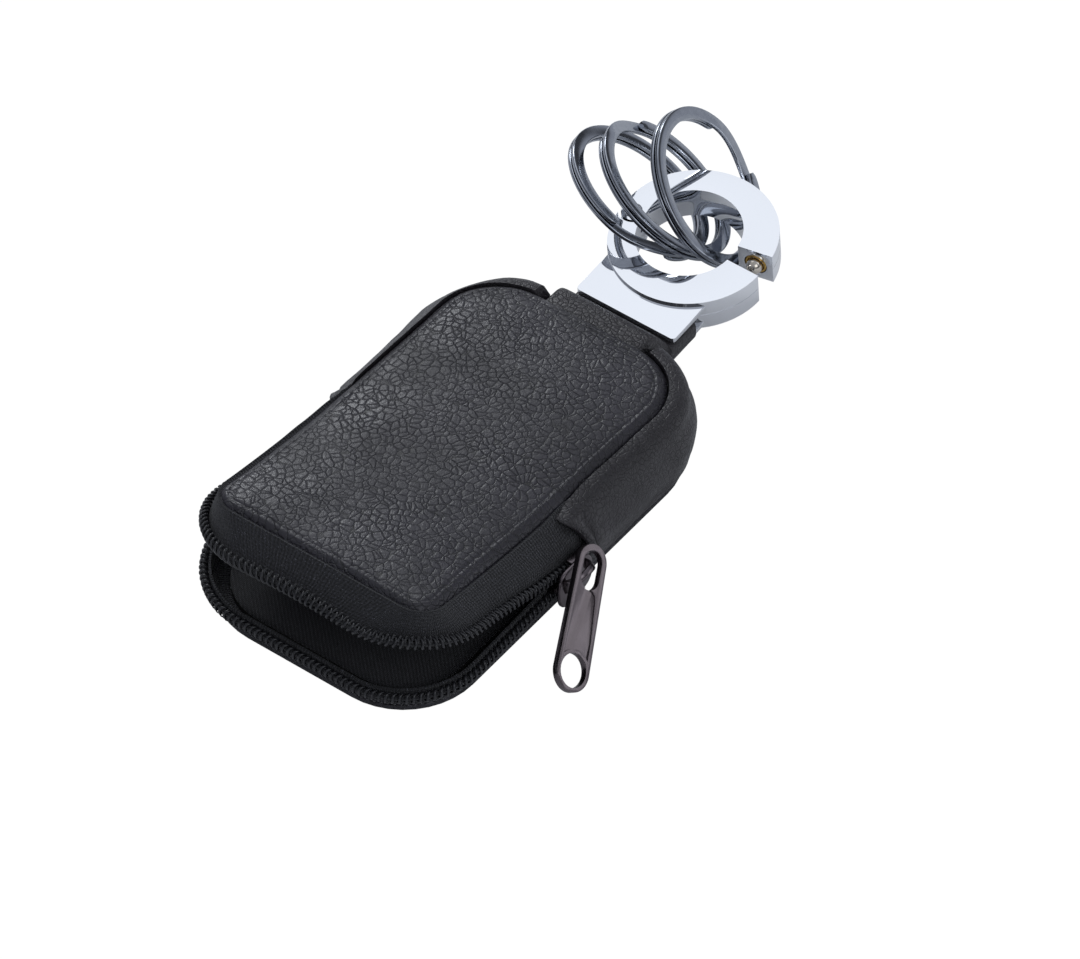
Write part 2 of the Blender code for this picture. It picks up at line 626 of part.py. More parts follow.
def knuckle():
    """Pin centre and lug radius of the half-lap joint between the two half rings."""
    inner = band_inner_radius(math.pi)
    return Vector((-(inner + RING_OUTER_RADIUS) / 2, RING_CENTRE_Y, 0.0)), (RING_OUTER_RADIUS - inner) / 2


def build_half(name, start_deg, stop_deg, lug_low, lug_high, room_low, room_high, finish):
    """Half of the clasp ring with its lug, the room for the other half's lug and the pin bore."""
    pin, lug_radius = knuckle()
    half = add_object(name, band_sector(start_deg, stop_deg), finish)
    room_radius = lug_radius + TOUCH_GAP
    room = add_object("room_cut", cylinder(room_radius, room_low, room_high, 32, pin.x, pin.y), finish)
    boolean(half, room, "DIFFERENCE")
    lug = add_object("lug", cylinder(lug_radius, lug_low, lug_high, 32, pin.x, pin.y), finish)
    boolean(half, lug, "UNION")
    bore = add_object("bore_cut", cylinder(PIN_RADIUS + PIN_CLEARANCE, lug_low - CUT_OVERRUN,
                                           lug_high + CUT_OVERRUN, 24, pin.x, pin.y), finish)
    boolean(half, bore, "DIFFERENCE")
    return half


def build_clasp(finishes):
    """Clasp body, gate, pin and snap stud."""
    frame = clasp_matrix()
    chrome = finishes["chrome"]
    pin, lug_radius = knuckle()
    low, high = RING_PROUD - RING_THICKNESS, RING_PROUD
    middle = (low + high) / 2
    body = build_half("clasp_body", 180.0, 360.0, low, middle - TOUCH_GAP / 2, middle - TOUCH_GAP / 2,
                      high + CUT_OVERRUN, chrome)
    slot_top = -PLATE_TOP
    slot_bottom = slot_top - STRAP_THICKNESS - 2 * TOUCH_GAP
    arc = []
    reach = RING_OUTER_RADIUS - RING_CHAMFER - TOUCH_GAP
    spread = math.asin(PLATE_HALF_WIDTH / reach)
    for i in range(13):
        angle = -math.pi / 2 + spread * (1.0 - 2.0 * i / 12)
        arc.append((reach * math.cos(angle), RING_CENTRE_Y + reach * math.sin(angle)))
    plan = [(-PLATE_HALF_WIDTH, 0.0), (PLATE_HALF_WIDTH, 0.0)] + arc
    top_plate = add_object("top_plate", prism(plan, slot_top, 0.0), chrome)
    boolean(body, top_plate, "UNION")
    bottom_plate = add_object("bottom_plate", prism(plan, slot_bottom - PLATE_BOTTOM, slot_bottom), chrome)
    boolean(body, bottom_plate, "UNION")
    end_radius = (band_inner_radius(0.0) + RING_OUTER_RADIUS) / 2
    stud_turn = Matrix.Translation(Vector((end_radius, RING_CENTRE_Y, middle))) @ Matrix.Rotation(
        math.radians(90.0), 4, "X")
    socket = add_object("socket_cut", cylinder(SOCKET_RADIUS, -CUT_OVERRUN, SOCKET_DEPTH, 24), chrome)
    socket.matrix_world = stud_turn
    boolean(body, socket, "DIFFERENCE")
    for side in (-1.0, 1.0):
        rivet_cut = add_object("rivet_cut", cylinder(RIVET_RADIUS + PIN_CLEARANCE, slot_bottom - CUT_OVERRUN
                                                     - PLATE_BOTTOM, slot_bottom + CUT_OVERRUN / 2, 16,
                                                     side * RIVET_SPREAD, RIVET_Y), chrome)
        boolean(body, rivet_cut, "DIFFERENCE")
    body.matrix_world = frame

    gate_turn = (Matrix.Translation(pin) @ Matrix.Rotation(math.radians(GATE_REST_DEG), 4, "Z")
                 @ Matrix.Translation(-pin))
    gate = build_half("gate", math.degrees(GATE_END_GAP / end_radius), 180.0, middle + TOUCH_GAP / 2, high,
                      low - CUT_OVERRUN, middle + TOUCH_GAP / 2, chrome)
    seat = add_object("collar_cut", cylinder(COLLAR_RADIUS + PIN_CLEARANCE, -COLLAR_DEPTH - GATE_END_GAP,
                                             CUT_OVERRUN, 24), chrome)
    seat.matrix_world = stud_turn
    boolean(gate, seat, "DIFFERENCE")
    root = add_object("stud_cut", cylinder(STUD_NECK_RADIUS + PIN_CLEARANCE, -STUD_ROOT_DEPTH - GATE_END_GAP
                                           - TOUCH_GAP, CUT_OVERRUN, 24), chrome)
    root.matrix_world = stud_turn
    boolean(gate, root, "DIFFERENCE")
    gate.matrix_world = frame @ gate_turn

    collar_bore = STUD_BALL_RADIUS + PIN_CLEARANCE
    collar_foot = TOUCH_GAP / 2 - COLLAR_DEPTH
    collar = turned([(collar_bore, collar_foot), (COLLAR_RADIUS, collar_foot),
                     (COLLAR_RADIUS, -TOUCH_GAP / 2), (COLLAR_RADIUS - TOUCH_GAP / 2, 0.0), (collar_bore, 0.0)])
    collar_part = add_object("stud_collar", collar, finishes["brass"])
    face = Matrix.Translation(Vector((0.0, 0.0, -GATE_END_GAP)))
    collar_part.matrix_world = frame @ gate_turn @ stud_turn @ face
    ball_centre = STUD_REACH - STUD_BALL_RADIUS
    steps = 8
    profile = [(0.0, -STUD_ROOT_DEPTH), (STUD_NECK_RADIUS, -STUD_ROOT_DEPTH)]
    start = math.pi - math.asin(STUD_NECK_RADIUS / STUD_BALL_RADIUS)
    for i in range(steps + 1):
        angle = start * (1.0 - i / steps)
        profile.append((STUD_BALL_RADIUS * math.sin(angle), ball_centre + STUD_BALL_RADIUS * math.cos(angle)))
    stud = add_object("ball_stud", spun(profile), finishes["nickel"])
    stud.matrix_world = frame @ gate_turn @ stud_turn @ face

    head = high + TOUCH_GAP / 2
    pin_profile = [(0.0, low + TOUCH_GAP), (PIN_RADIUS, low + TOUCH_GAP), (PIN_RADIUS, head),
                   (PIN_HEAD_RADIUS, head), (PIN_HEAD_RADIUS, head + PIN_HEAD_HEIGHT / 2),
                   (PIN_RADIUS, head + PIN_HEAD_HEIGHT), (0.0, head + PIN_HEAD_HEIGHT)]
    gate_pin = add_object("gate_pin", spun(pin_profile), chrome)
    gate_pin.matrix_world = frame @ Matrix.Translation(pin)
    return frame, slot_top, slot_bottom


# Strap

def strap_middle():
    """Centre line of the strap in its side plane as (y, z, turn in radians)."""
    frame = clasp_matrix()
    channel_z = -PLATE_TOP - TOUCH_GAP - STRAP_THICKNESS / 2
    entry = frame @ Vector((0.0, 0.0, channel_z))
    end = frame @ Vector((0.0, STRAP_REACH, channel_z))
    slope, pitch = math.radians(STRAP_SLOPE_DEG), math.radians(CLASP_PITCH_DEG)
    root_z = FRONT_HEIGHT - FRONT_THICKNESS - TOUCH_GAP - STRAP_THICKNESS / 2
    bend = STRAP_BEND_RADIUS
    drop = root_z - entry.z - bend * (1.0 - math.cos(slope)) - bend * (math.cos(pitch) - math.cos(slope))
    straight = drop / math.sin(slope)
    run = bend * (2 * math.sin(slope) + math.sin(pitch)) + straight * math.cos(slope)
    start_y = entry.y - run
    points = [(FRONT_CLOSED_Y - FOAM_INSET + TOUCH_GAP, root_z, 0.0)]
    for i in range(STRAP_BEND_STEPS + 1):
        angle = slope * i / STRAP_BEND_STEPS
        points.append((start_y + bend * math.sin(angle), root_z - bend * (1.0 - math.cos(angle)), -angle))
    for i in range(STRAP_BEND_STEPS + 1):
        angle = -slope + (slope + pitch) * i / STRAP_BEND_STEPS
        points.append((entry.y - bend * (math.sin(pitch) - math.sin(angle)),
                       entry.z + bend * (math.cos(pitch) - math.cos(angle)), angle))
    points.append((end.y, end.z, pitch))
    return points


def build_strap(finishes):
    """Leather strap, sewn under the front panel's closed edge and clamped in the clasp plate."""
    leather = finishes["leather"]
    middle = strap_middle()
    half = STRAP_THICKNESS / 2
    above = [(y - half * math.sin(turn), z + half * math.cos(turn)) for y, z, turn in middle]
    below = [(y + half * math.sin(turn), z - half * math.cos(turn)) for y, z, turn in middle]
    side = above + below[::-1]
    strap = add_object("strap", loft([[Vector((x, y, z)) for y, z in side]
                                      for x in (CLASP_X - STRAP_HALF_WIDTH, CLASP_X + STRAP_HALF_WIDTH)]), leather)
    frame = clasp_matrix()
    low, high = RING_PROUD - RING_THICKNESS, RING_PROUD
    ring_cut = add_object("ring_cut", cylinder(RING_OUTER_RADIUS + TOUCH_GAP, low, high, 2 * HALF_RING_STEPS,
                                               0.0, RING_CENTRE_Y), leather)
    ring_cut.matrix_world = frame
    boolean(strap, ring_cut, "DIFFERENCE")
    for side in (-1.0, 1.0):
        hole = add_object("hole_cut", cylinder(RIVET_RADIUS + PIN_CLEARANCE, low, high, 16,
                                               side * RIVET_SPREAD, RIVET_Y), leather)
        hole.matrix_world = frame
        boolean(strap, hole, "DIFFERENCE")
        foot = -PLATE_TOP - STRAP_THICKNESS - 2 * TOUCH_GAP - PLATE_BOTTOM - TOUCH_GAP / 2
        name = "strap_rivet_left" if side < 0.0 else "strap_rivet_right"
        rivet = add_object(name, spun([(0.0, foot - RIVET_HEAD_HEIGHT), (RIVET_RADIUS, foot - RIVET_HEAD_HEIGHT),
                                       (RIVET_HEAD_RADIUS, foot - RIVET_HEAD_HEIGHT / 2),
                                       (RIVET_HEAD_RADIUS, foot), (RIVET_RADIUS, foot),
                                       (RIVET_RADIUS, -PLATE_TOP - TOUCH_GAP), (0.0, -PLATE_TOP - TOUCH_GAP)], 16),
                           finishes["chrome"])
        rivet.matrix_world = frame @ Matrix.Translation(Vector((side * RIVET_SPREAD, RIVET_Y, 0.0)))
    low_z = min(z for _, z in below[:2]) - TOUCH_GAP
    near_y, far_y = middle[0][0], FRONT_CLOSED_Y + REAR_CLOSED_RADIUS
    reach = STRAP_HALF_WIDTH + TOUCH_GAP
    for name in ("side_wall", "wall_lining"):
        notch = add_object("notch_cut", prism([(CLASP_X - reach, near_y - CUT_OVERRUN), (CLASP_X + reach, near_y
                                               - CUT_OVERRUN), (CLASP_X + reach, far_y), (CLASP_X - reach, far_y)],
                                              low_z, FRONT_HEIGHT + CUT_OVERRUN), leather)
        boolean(bpy.data.objects[name], notch, "DIFFERENCE")


# Split rings

def build_split_ring(name, place, finish):
    """Flat spring wire wound almost twice round, stepping up once to its second turn."""
    azimuth, elevation, centre, link, end_deg = place
    az, el = math.radians(azimuth), math.radians(elevation)
    normal = Vector((math.cos(el) * math.cos(az), math.cos(el) * math.sin(az), math.sin(el)))
    first = Vector((-math.sin(az), math.cos(az), 0.0))
    second = normal.cross(first)
    pitch = SPLIT_WIRE_THICKNESS + SPLIT_TURN_GAP
    ramp = math.radians(SPLIT_RAMP_DEG)
    start = math.radians(end_deg) + ramp
    total = 2 * math.tau - 2 * ramp
    count = 2 * SPLIT_STEPS
    middle, pin = Vector(centre), Vector(link)
    rings = []
    for i in range(count + 1):
        sweep = ramp + total * i / count
        rise = pitch * (ease((sweep - math.tau + ramp) / (2 * ramp)) - 0.5)
        out = first * math.cos(start + sweep) + second * math.sin(start + sweep)
        mid = middle - pin + out * SPLIT_RADIUS + normal * rise
        across, deep = out * (SPLIT_WIRE_WIDTH / 2), normal * (SPLIT_WIRE_THICKNESS / 2)
        rings.append([mid - across - deep, mid + across - deep, mid + across + deep, mid - across + deep])
    ring = add_object(name, loft(rings), finish)
    ring.matrix_world = Matrix.Translation(pin)
    return ring


def spun(profile, steps=ROUND_STEPS):
    """Revolve an open (radius, z) profile whose first and last points lie on the axis."""
    mesh = bmesh.new()
    first = mesh.verts.new((0.0, 0.0, profile[0][1]))
    last = mesh.verts.new((0.0, 0.0, profile[-1][1]))
    rows = []
    for r, z in profile[1:-1] if profile[-1][0] < TOUCH_GAP / 10 else profile[1:]:
        rows.append([mesh.verts.new((r * math.cos(math.tau * i / steps), r * math.sin(math.tau * i / steps), z))
                     for i in range(steps)])
    for j in range(steps):
        k = (j + 1) % steps
        mesh.faces.new((first, rows[0][k], rows[0][j]))
        for low, high in zip(rows, rows[1:]):
            mesh.faces.new((low[j], low[k], high[k], high[j]))
        mesh.faces.new((last, rows[-1][j], rows[-1][k]))
    return mesh


def main():
    """Build every sub-part."""
    for item in list(bpy.data.objects):
        bpy.data.objects.remove(item)
    finishes = {
        "leather": material("black pebble leather", (0.022, 0.021, 0.026), 0.45, 0.0),
        "foam": material("grey foam", (0.10, 0.10, 0.10), 0.9, 0.0),
        "board": material("fibre board", (0.16, 0.12, 0.09), 0.9, 0.0),
        "lining": material("black lining cloth", (0.012, 0.012, 0.014), 0.8, 0.0),
        "tape": material("black woven tape", (0.014, 0.014, 0.017), 0.75, 0.0),
        "coil": material("black nylon coil", (0.012, 0.012, 0.015), 0.25, 0.0),
        "gunmetal": material("gunmetal plating", (0.13, 0.12, 0.125), 0.35, 1.0),
        "chrome": material("polished chrome", (0.80, 0.81, 0.84), 0.06, 1.0),
        "steel": material("nickelled spring steel", (0.50, 0.51, 0.55), 0.18, 1.0),
        "nickel": material("nickel plating", (0.66, 0.62, 0.55), 0.15, 1.0),
        "brass": material("brass", (0.72, 0.50, 0.24), 0.25, 1.0),
    }
    build_rear_stack(finishes)
    build_front_stack(finishes)
    build_wall("side_wall", 0.0, WALL_THICKNESS, finishes["leather"])
    build_wall("wall_lining", WALL_THICKNESS + TOUCH_GAP, WALL_LINING_THICKNESS, finishes["lining"])
    lower = lip_frames(False)
    upper = lip_frames(True)
    build_tape("lower_zip_tape", lower, finishes["tape"])
    build_tape("upper_zip_tape", upper, finishes["tape"])
    build_coil("lower_coil", lower, finishes["coil"])
    build_coil("upper_coil", upper, finishes["coil"])
    build_pull(build_slider(finishes), finishes)
    build_clasp(finishes)
    build_strap(finishes)
    for i, place in enumerate(SPLIT_RING_PLACES):
        build_split_ring(f"split_ring_{i + 1}", place, finishes["steel"])


if __name__ == "__main__":
    main()
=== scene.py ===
"""Looks of the key pouch: pebbled black leather, an open zip, a chrome clasp with a gate, and split rings."""

import math

import bmesh
import bpy
from mathutils import Matrix, Vector, noise


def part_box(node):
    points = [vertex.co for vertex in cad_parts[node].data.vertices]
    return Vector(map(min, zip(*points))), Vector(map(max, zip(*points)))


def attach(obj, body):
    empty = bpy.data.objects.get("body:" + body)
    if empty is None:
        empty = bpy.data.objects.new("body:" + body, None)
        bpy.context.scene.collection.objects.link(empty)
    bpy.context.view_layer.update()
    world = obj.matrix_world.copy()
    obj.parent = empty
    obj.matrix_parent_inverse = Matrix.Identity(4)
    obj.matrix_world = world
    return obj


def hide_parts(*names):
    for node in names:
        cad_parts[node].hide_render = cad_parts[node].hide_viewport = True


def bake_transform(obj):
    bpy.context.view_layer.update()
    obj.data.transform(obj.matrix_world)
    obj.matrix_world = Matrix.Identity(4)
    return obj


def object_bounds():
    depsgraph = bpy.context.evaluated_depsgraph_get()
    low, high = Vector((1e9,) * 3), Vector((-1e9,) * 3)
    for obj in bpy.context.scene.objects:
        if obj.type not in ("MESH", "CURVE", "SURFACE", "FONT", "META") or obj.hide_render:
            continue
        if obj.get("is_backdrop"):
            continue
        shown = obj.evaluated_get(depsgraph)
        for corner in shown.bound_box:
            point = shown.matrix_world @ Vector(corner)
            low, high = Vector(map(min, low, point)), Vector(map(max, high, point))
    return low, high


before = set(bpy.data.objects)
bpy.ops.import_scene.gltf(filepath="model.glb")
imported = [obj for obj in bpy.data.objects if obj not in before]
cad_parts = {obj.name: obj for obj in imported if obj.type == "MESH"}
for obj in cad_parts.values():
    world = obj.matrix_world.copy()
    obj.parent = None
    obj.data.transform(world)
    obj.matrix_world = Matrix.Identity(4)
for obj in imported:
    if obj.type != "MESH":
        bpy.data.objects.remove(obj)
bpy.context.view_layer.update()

# Camera. A long lens far off, as in a catalogue picture, looks down on the zip's corner of the pouch.
# The pouch lies along the floor with its mouth towards the camera's lower left.
azimuth, elevation = math.radians(37.0), math.radians(46.5)
look_right = Vector((math.cos(azimuth), math.sin(azimuth), 0.0))
look_ahead = Vector((-math.sin(azimuth) * math.cos(elevation), math.cos(azimuth) * math.cos(elevation),
                     -math.sin(elevation)))
look_up = look_right.cross(look_ahead)
aim = Vector((0.0005, 0.0, 0.010)) + look_right * 0.0155 + look_up * 0.0005
camera_data = bpy.data.cameras.new("camera")
camera_data.lens = 260.0
camera_data.sensor_width = 36.0
camera_data.clip_start = 0.05
camera_data.clip_end = 20.0
camera = bpy.data.objects.new("camera", camera_data)
bpy.context.scene.collection.objects.link(camera)
turn = Matrix((look_right, look_up, -look_ahead)).transposed().to_4x4()
camera.matrix_world = Matrix.Translation(aim - look_ahead * 1.5) @ turn
bpy.context.scene.camera = camera
bpy.context.scene.view_settings.view_transform = "Standard"


# Studio. A white sheet of card lies under the pouch, and four soft lamps and a bright room light it.
# The camera sees the room as white, and polished metal mirrors a dark band in it above the floor.
def linear(hex_colour):
    """Linear RGBA of an sRGB hex colour."""
    channels = [int(hex_colour[i:i + 2], 16) / 255 for i in (1, 3, 5)]
    return (*[c / 12.92 if c <= 0.04045 else ((c + 0.055) / 1.055) ** 2.4 for c in channels], 1.0)


def feed(material, node, inputs):
    """Set a node's inputs. Each is a value, an output socket, or a node, which gives its first output."""
    for name, value in inputs.items():
        if isinstance(value, bpy.types.Node):
            value = value.outputs[0]
        if isinstance(value, bpy.types.NodeSocket):
            material.node_tree.links.new(value, node.inputs[name])
        else:
            node.inputs[name].default_value = value


def add_node(material, kind, settings=None, inputs=None):
    """Add one node with its settings and inputs."""
    node = material.node_tree.nodes.new("ShaderNode" + kind)
    for name, value in (settings or {}).items():
        setattr(node, name, value)
    feed(material, node, inputs or {})
    return node


def new_material(name):
    """A material with its Principled shader."""
    material = bpy.data.materials.new(name)
    material.use_nodes = True
    return material, material.node_tree.nodes["Principled BSDF"]


world = bpy.data.worlds.new("bright_room")
bpy.context.scene.world = world
world.use_nodes = True
sky = world.node_tree.nodes["Background"]
paths = add_node(world, "LightPath")
seen = add_node(world, "Math", {"operation": "MAXIMUM"},
    {0: paths.outputs["Is Camera Ray"], 1: paths.outputs["Is Transmission Ray"]})
direction = add_node(world, "TexCoord")
upward = add_node(world, "SeparateXYZ", None, {0: direction.outputs["Generated"]})
walls = add_node(world, "ValToRGB", None, {"Fac": upward.outputs["Z"]})
for height, light in ((0.0, 0.55), (0.07, 0.50), (0.14, 0.07), (0.28, 0.10), (0.52, 0.44), (1.0, 0.50)):
    stop = walls.color_ramp.elements.new(height) if height not in (0.0, 1.0) else \
        walls.color_ramp.elements[int(height > 0.5) * (len(walls.color_ramp.elements) - 1)]
    stop.color = (light, light, light, 1.0)
room = add_node(world, "Mix", {"data_type": "FLOAT"}, {0: seen, 2: walls.outputs["Color"], 3: 1.0})
tint = add_node(world, "Mix", {"data_type": "RGBA"},
    {0: seen, 6: linear("#eef3ff"), 7: (1.0, 1.0, 1.0, 1.0)})
feed(world, sky, {"Strength": room, "Color": tint.outputs[2]})

bpy.ops.object.select_all(action="DESELECT")
bpy.ops.mesh.primitive_plane_add(size=1.1, location=(0.0, 0.0, -0.0003))
floor = bpy.context.object
floor.name = "white_card"
card, card_shader = new_material("white card, matt")
feed(card, card_shader, {"Base Color": linear("#f4f4f4"), "Roughness": 0.9})
paths = add_node(card, "LightPath")
glow = add_node(card, "Emission", None, {"Color": (1.0, 1.0, 1.0, 1.0), "Strength": 1.06})
share = add_node(card, "Math", {"operation": "MULTIPLY"}, {0: paths.outputs["Is Camera Ray"], 1: 0.94})
mixed = add_node(card, "MixShader", None, {0: share, 1: card_shader, 2: glow})
feed(card, card.node_tree.nodes["Material Output"], {"Surface": mixed})
floor.data.materials.append(card)
floor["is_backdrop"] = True

for name, place, size, watts in (("ceiling_lamp", (-0.62, 0.50, 0.85), 1.1, 2.4),
                                 ("window_lamp", (-0.80, 0.66, 0.56), 0.30, 2.6),
                                 ("fill_lamp", (0.80, -0.30, 0.75), 0.7, 1.8),
                                 ("side_card", (0.88, 0.76, 0.17), 0.5, 0.9)):
    lamp_data = bpy.data.lights.new(name, "AREA")
    lamp_data.size = size
    lamp_data.energy = watts
    lamp_data.color = (0.94, 0.97, 1.0)
    lamp = bpy.data.objects.new(name, lamp_data)
    bpy.context.scene.collection.objects.link(lamp)
    lamp.location = place
    lamp.rotation_euler = (Vector((0.0, 0.02, 0.01)) - Vector(place)).to_track_quat("-Z", "Y").to_euler()


# Rear panel. A flat piece of cowhide, cut with large round corners, its edge turned and glued over a board.
# Everything else is sewn to its rim.
rear_half_width, rear_mouth_y, rear_closed_y = 0.0290, -0.0495, 0.0455
rear_radius, rear_thickness = 0.0165, 0.0014


def rounded_outline(half_width, mouth_y, closed_y, mouth_radius, closed_radius, inset, steps=10):
    """Points round a panel at an inset from its edge, the same number for every inset."""
    half_width = max(half_width - inset, 0.0)
    mouth_y, closed_y = mouth_y + inset, closed_y - inset
    corners = []
    for side, end_y, inward, radius, start in (
            (1, mouth_y, 1, mouth_radius, -90), (1, closed_y, -1, closed_radius, 0),
            (-1, closed_y, -1, closed_radius, 90), (-1, mouth_y, 1, mouth_radius, 180)):
        radius = min(max(radius - inset, 0.0006), half_width)
        centre = Vector((side * (half_width - radius), end_y + inward * radius))
        corners.append([centre + radius * Vector((math.cos(math.radians(start + 90 * i / steps)),
                                                  math.sin(math.radians(start + 90 * i / steps))))
                        for i in range(steps + 1)])
    points = []
    for here, after in zip(corners, corners[1:] + corners[:1]):
        points += here + [here[-1].lerp(after[0], k / 14) for k in range(1, 14)]
    return points


def as_object(name, mesh):
    """Smooth object from a bmesh, which is used up."""
    data = bpy.data.meshes.new(name)
    mesh.to_mesh(data)
    mesh.free()
    piece = bpy.data.objects.new(name, data)
    bpy.context.scene.collection.objects.link(piece)
    data.shade_smooth()
    return piece


def skin(name, rings, uv_rows=None, lengthwise_closed=False):
    """Mesh object through rows of points. Rows close on themselves; the first and last are capped."""
    mesh = bmesh.new()
    rows = [[mesh.verts.new(point) for point in ring] for ring in rings]
    count = len(rows[0])
    for i in range(len(rows) if lengthwise_closed else len(rows) - 1):
        low, high = rows[i], rows[(i + 1) % len(rows)]
        for j in range(count):
            k = (j + 1) % count
            mesh.faces.new((low[j], low[k], high[k], high[j]))
    if not lengthwise_closed:
        mesh.faces.new(rows[0][::-1])
        mesh.faces.new(rows[-1])
    if not uv_rows:
        bmesh.ops.remove_doubles(mesh, verts=mesh.verts, dist=0.000002)
    bmesh.ops.recalc_face_normals(mesh, faces=mesh.faces)
    if uv_rows:
        place = {vert: uv for row, uvs in zip(rows, uv_rows) for vert, uv in zip(row, uvs)}
        layer = mesh.loops.layers.uv.new("along_and_across")
        for face in mesh.faces:
            for corner in face.loops:
                corner[layer].uv = place[corner.vert]
    return as_object(name, mesh)


def select_only(piece):
    """Make a piece the one that Blender's operators work on."""
    bpy.ops.object.select_all(action="DESELECT")
    piece.select_set(True)
    bpy.context.view_layer.objects.active = piece


def sharpen(piece, degrees):
    """Smooth shading that keeps the edges sharper than an angle."""
    select_only(piece)
    bpy.ops.object.shade_smooth_by_angle(angle=math.radians(degrees))


# The hide is chrome-tanned, pigmented black and embossed with a pebble grain. Its tops catch a soft light
# and its creases are darkened with painted shade. Pebbles are 1.6 mm across on the panels and 1.1 mm on
# the wall, with finer pores over them.
def black_leather(name, top_colour, crease_shade_colour, pebble_mm, depth):
    """Pebbled leather with creases darkened by painted shade, fine wrinkles, pores and broad changes of tone.
    """
    hide, shader = new_material(name)
    place = add_node(hide, "TexCoord")
    drift = add_node(hide, "TexNoise", None,
        {"Vector": place.outputs["Object"], "Scale": 230.0, "Detail": 1.0})
    shift = add_node(hide, "VectorMath", {"operation": "MULTIPLY_ADD"},
        {0: drift.outputs["Color"], 1: (0.0024, 0.0024, 0.0024), 2: place.outputs["Object"]})
    pebbles = add_node(hide, "TexVoronoi", {"feature": "DISTANCE_TO_EDGE"},
        {"Vector": shift, "Scale": 1000.0 / pebble_mm})
    pores = add_node(hide, "TexVoronoi", {"feature": "DISTANCE_TO_EDGE"},
        {"Vector": shift, "Scale": 2300.0 / pebble_mm})
    tone = add_node(hide, "TexNoise", None,
        {"Vector": place.outputs["Object"], "Scale": 48.0, "Detail": 5.0, "Roughness": 0.6})
    wrinkles = add_node(hide, "TexNoise", None,
        {"Vector": place.outputs["Object"], "Scale": 900.0, "Detail": 4.0, "Roughness": 0.7})
    valley = add_node(hide, "MapRange", None,
        {"Value": pebbles.outputs["Distance"], "From Max": 0.34, "To Min": 1.0, "To Max": 0.0})
    steep = add_node(hide, "Math", {"operation": "POWER"}, {0: valley, 1: 3.4})
    dome = add_node(hide, "Math", {"operation": "SUBTRACT"}, {0: 1.0, 1: steep})
    fine_dome = add_node(hide, "MapRange", {"interpolation_type": "SMOOTHSTEP"},
        {"Value": pores.outputs["Distance"], "From Max": 0.24})
    crease = add_node(hide, "MapRange", {"interpolation_type": "SMOOTHSTEP"},
        {"Value": pebbles.outputs["Distance"], "From Max": 0.085})
    region = add_node(hide, "TexNoise", None,
        {"Vector": place.outputs["Object"], "Scale": 110.0, "Detail": 3.0})
    fade = add_node(hide, "MapRange", None, {"Value": region.outputs["Fac"], "From Min": 0.38,
        "From Max": 0.62, "To Min": 0.68, "To Max": 1.0})
    # Painted shade: the crease colour darkens the grain along each pebble's edge, where the bump dips.
    crease_shade = add_node(hide, "Math", {"operation": "MULTIPLY_ADD"}, {0: crease, 1: 0.88, 2: 0.12})
    faded_crease_shade = add_node(hide, "Mix", {"data_type": "FLOAT"}, {0: fade, 2: 1.0, 3: crease_shade})
    raised = add_node(hide, "Math", {"operation": "MULTIPLY"}, {0: dome, 1: fade})
    body = add_node(hide, "Math", {"operation": "MULTIPLY_ADD"}, {0: fine_dome, 1: 0.16, 2: raised})
    height = add_node(hide, "Math", {"operation": "MULTIPLY_ADD"},
        {0: wrinkles.outputs["Fac"], 1: 0.25, 2: body})
    bump = add_node(hide, "Bump", None, {"Height": height, "Strength": 1.0, "Distance": depth})
    patches = add_node(hide, "MapRange", None,
        {"Value": tone.outputs["Fac"], "From Min": 0.36, "From Max": 0.64})
    grain_colour = add_node(hide, "Mix", {"data_type": "RGBA"},
        {0: faded_crease_shade, 6: linear(crease_shade_colour), 7: linear(top_colour)})
    broad = add_node(hide, "MapRange", None, {"Value": patches, "To Min": 0.72, "To Max": 1.18})
    tinted = add_node(hide, "VectorMath", {"operation": "SCALE"},
        {0: grain_colour.outputs[2], "Scale": broad})
    worn = add_node(hide, "Math", {"operation": "MULTIPLY"}, {0: dome, 1: patches})
    gloss = add_node(hide, "MapRange", None, {"Value": worn, "To Min": 0.48, "To Max": 0.30})
    feed(hide, shader, {"Base Color": tinted, "Roughness": gloss, "Normal": bump, "Specular IOR Level": 0.5})
    return hide


# The second colour of each leather is the painted shade in its creases.
pebble_leather = black_leather("black pebble leather, pigmented", "#2a282f", "#040405", 1.6, 0.00012)
wall_leather = black_leather("black leather, finer grain from the belly", "#2c292d", "#09080a", 1.1, 0.00011)


def rear_rows(thick):
    """Rows of the rear panel with small round edges: underside out to the rim, and back over the top."""
    roll = 0.0003
    half = ((rear_half_width, 0.0), (0.015, 0.0), (0.004, 0.0), (0.0008, 0.0), (roll, 0.00003),
            (0.0001, 0.00015), (0.0, roll))
    rows = []
    for inset, level in half + tuple((inset, thick - level) for inset, level in reversed(half)):
        outline = rounded_outline(rear_half_width, rear_mouth_y, rear_closed_y, rear_radius, rear_radius,
                                  inset)
        rows.append([Vector((p.x, p.y, level)) for p in outline])
    return rows


rear_skin = skin("rear_skin", rear_rows(rear_thickness))
sharpen(rear_skin, 50.0)
rear_skin.data.materials.append(pebble_leather)
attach(rear_skin, "pouch")
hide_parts("rear_panel")
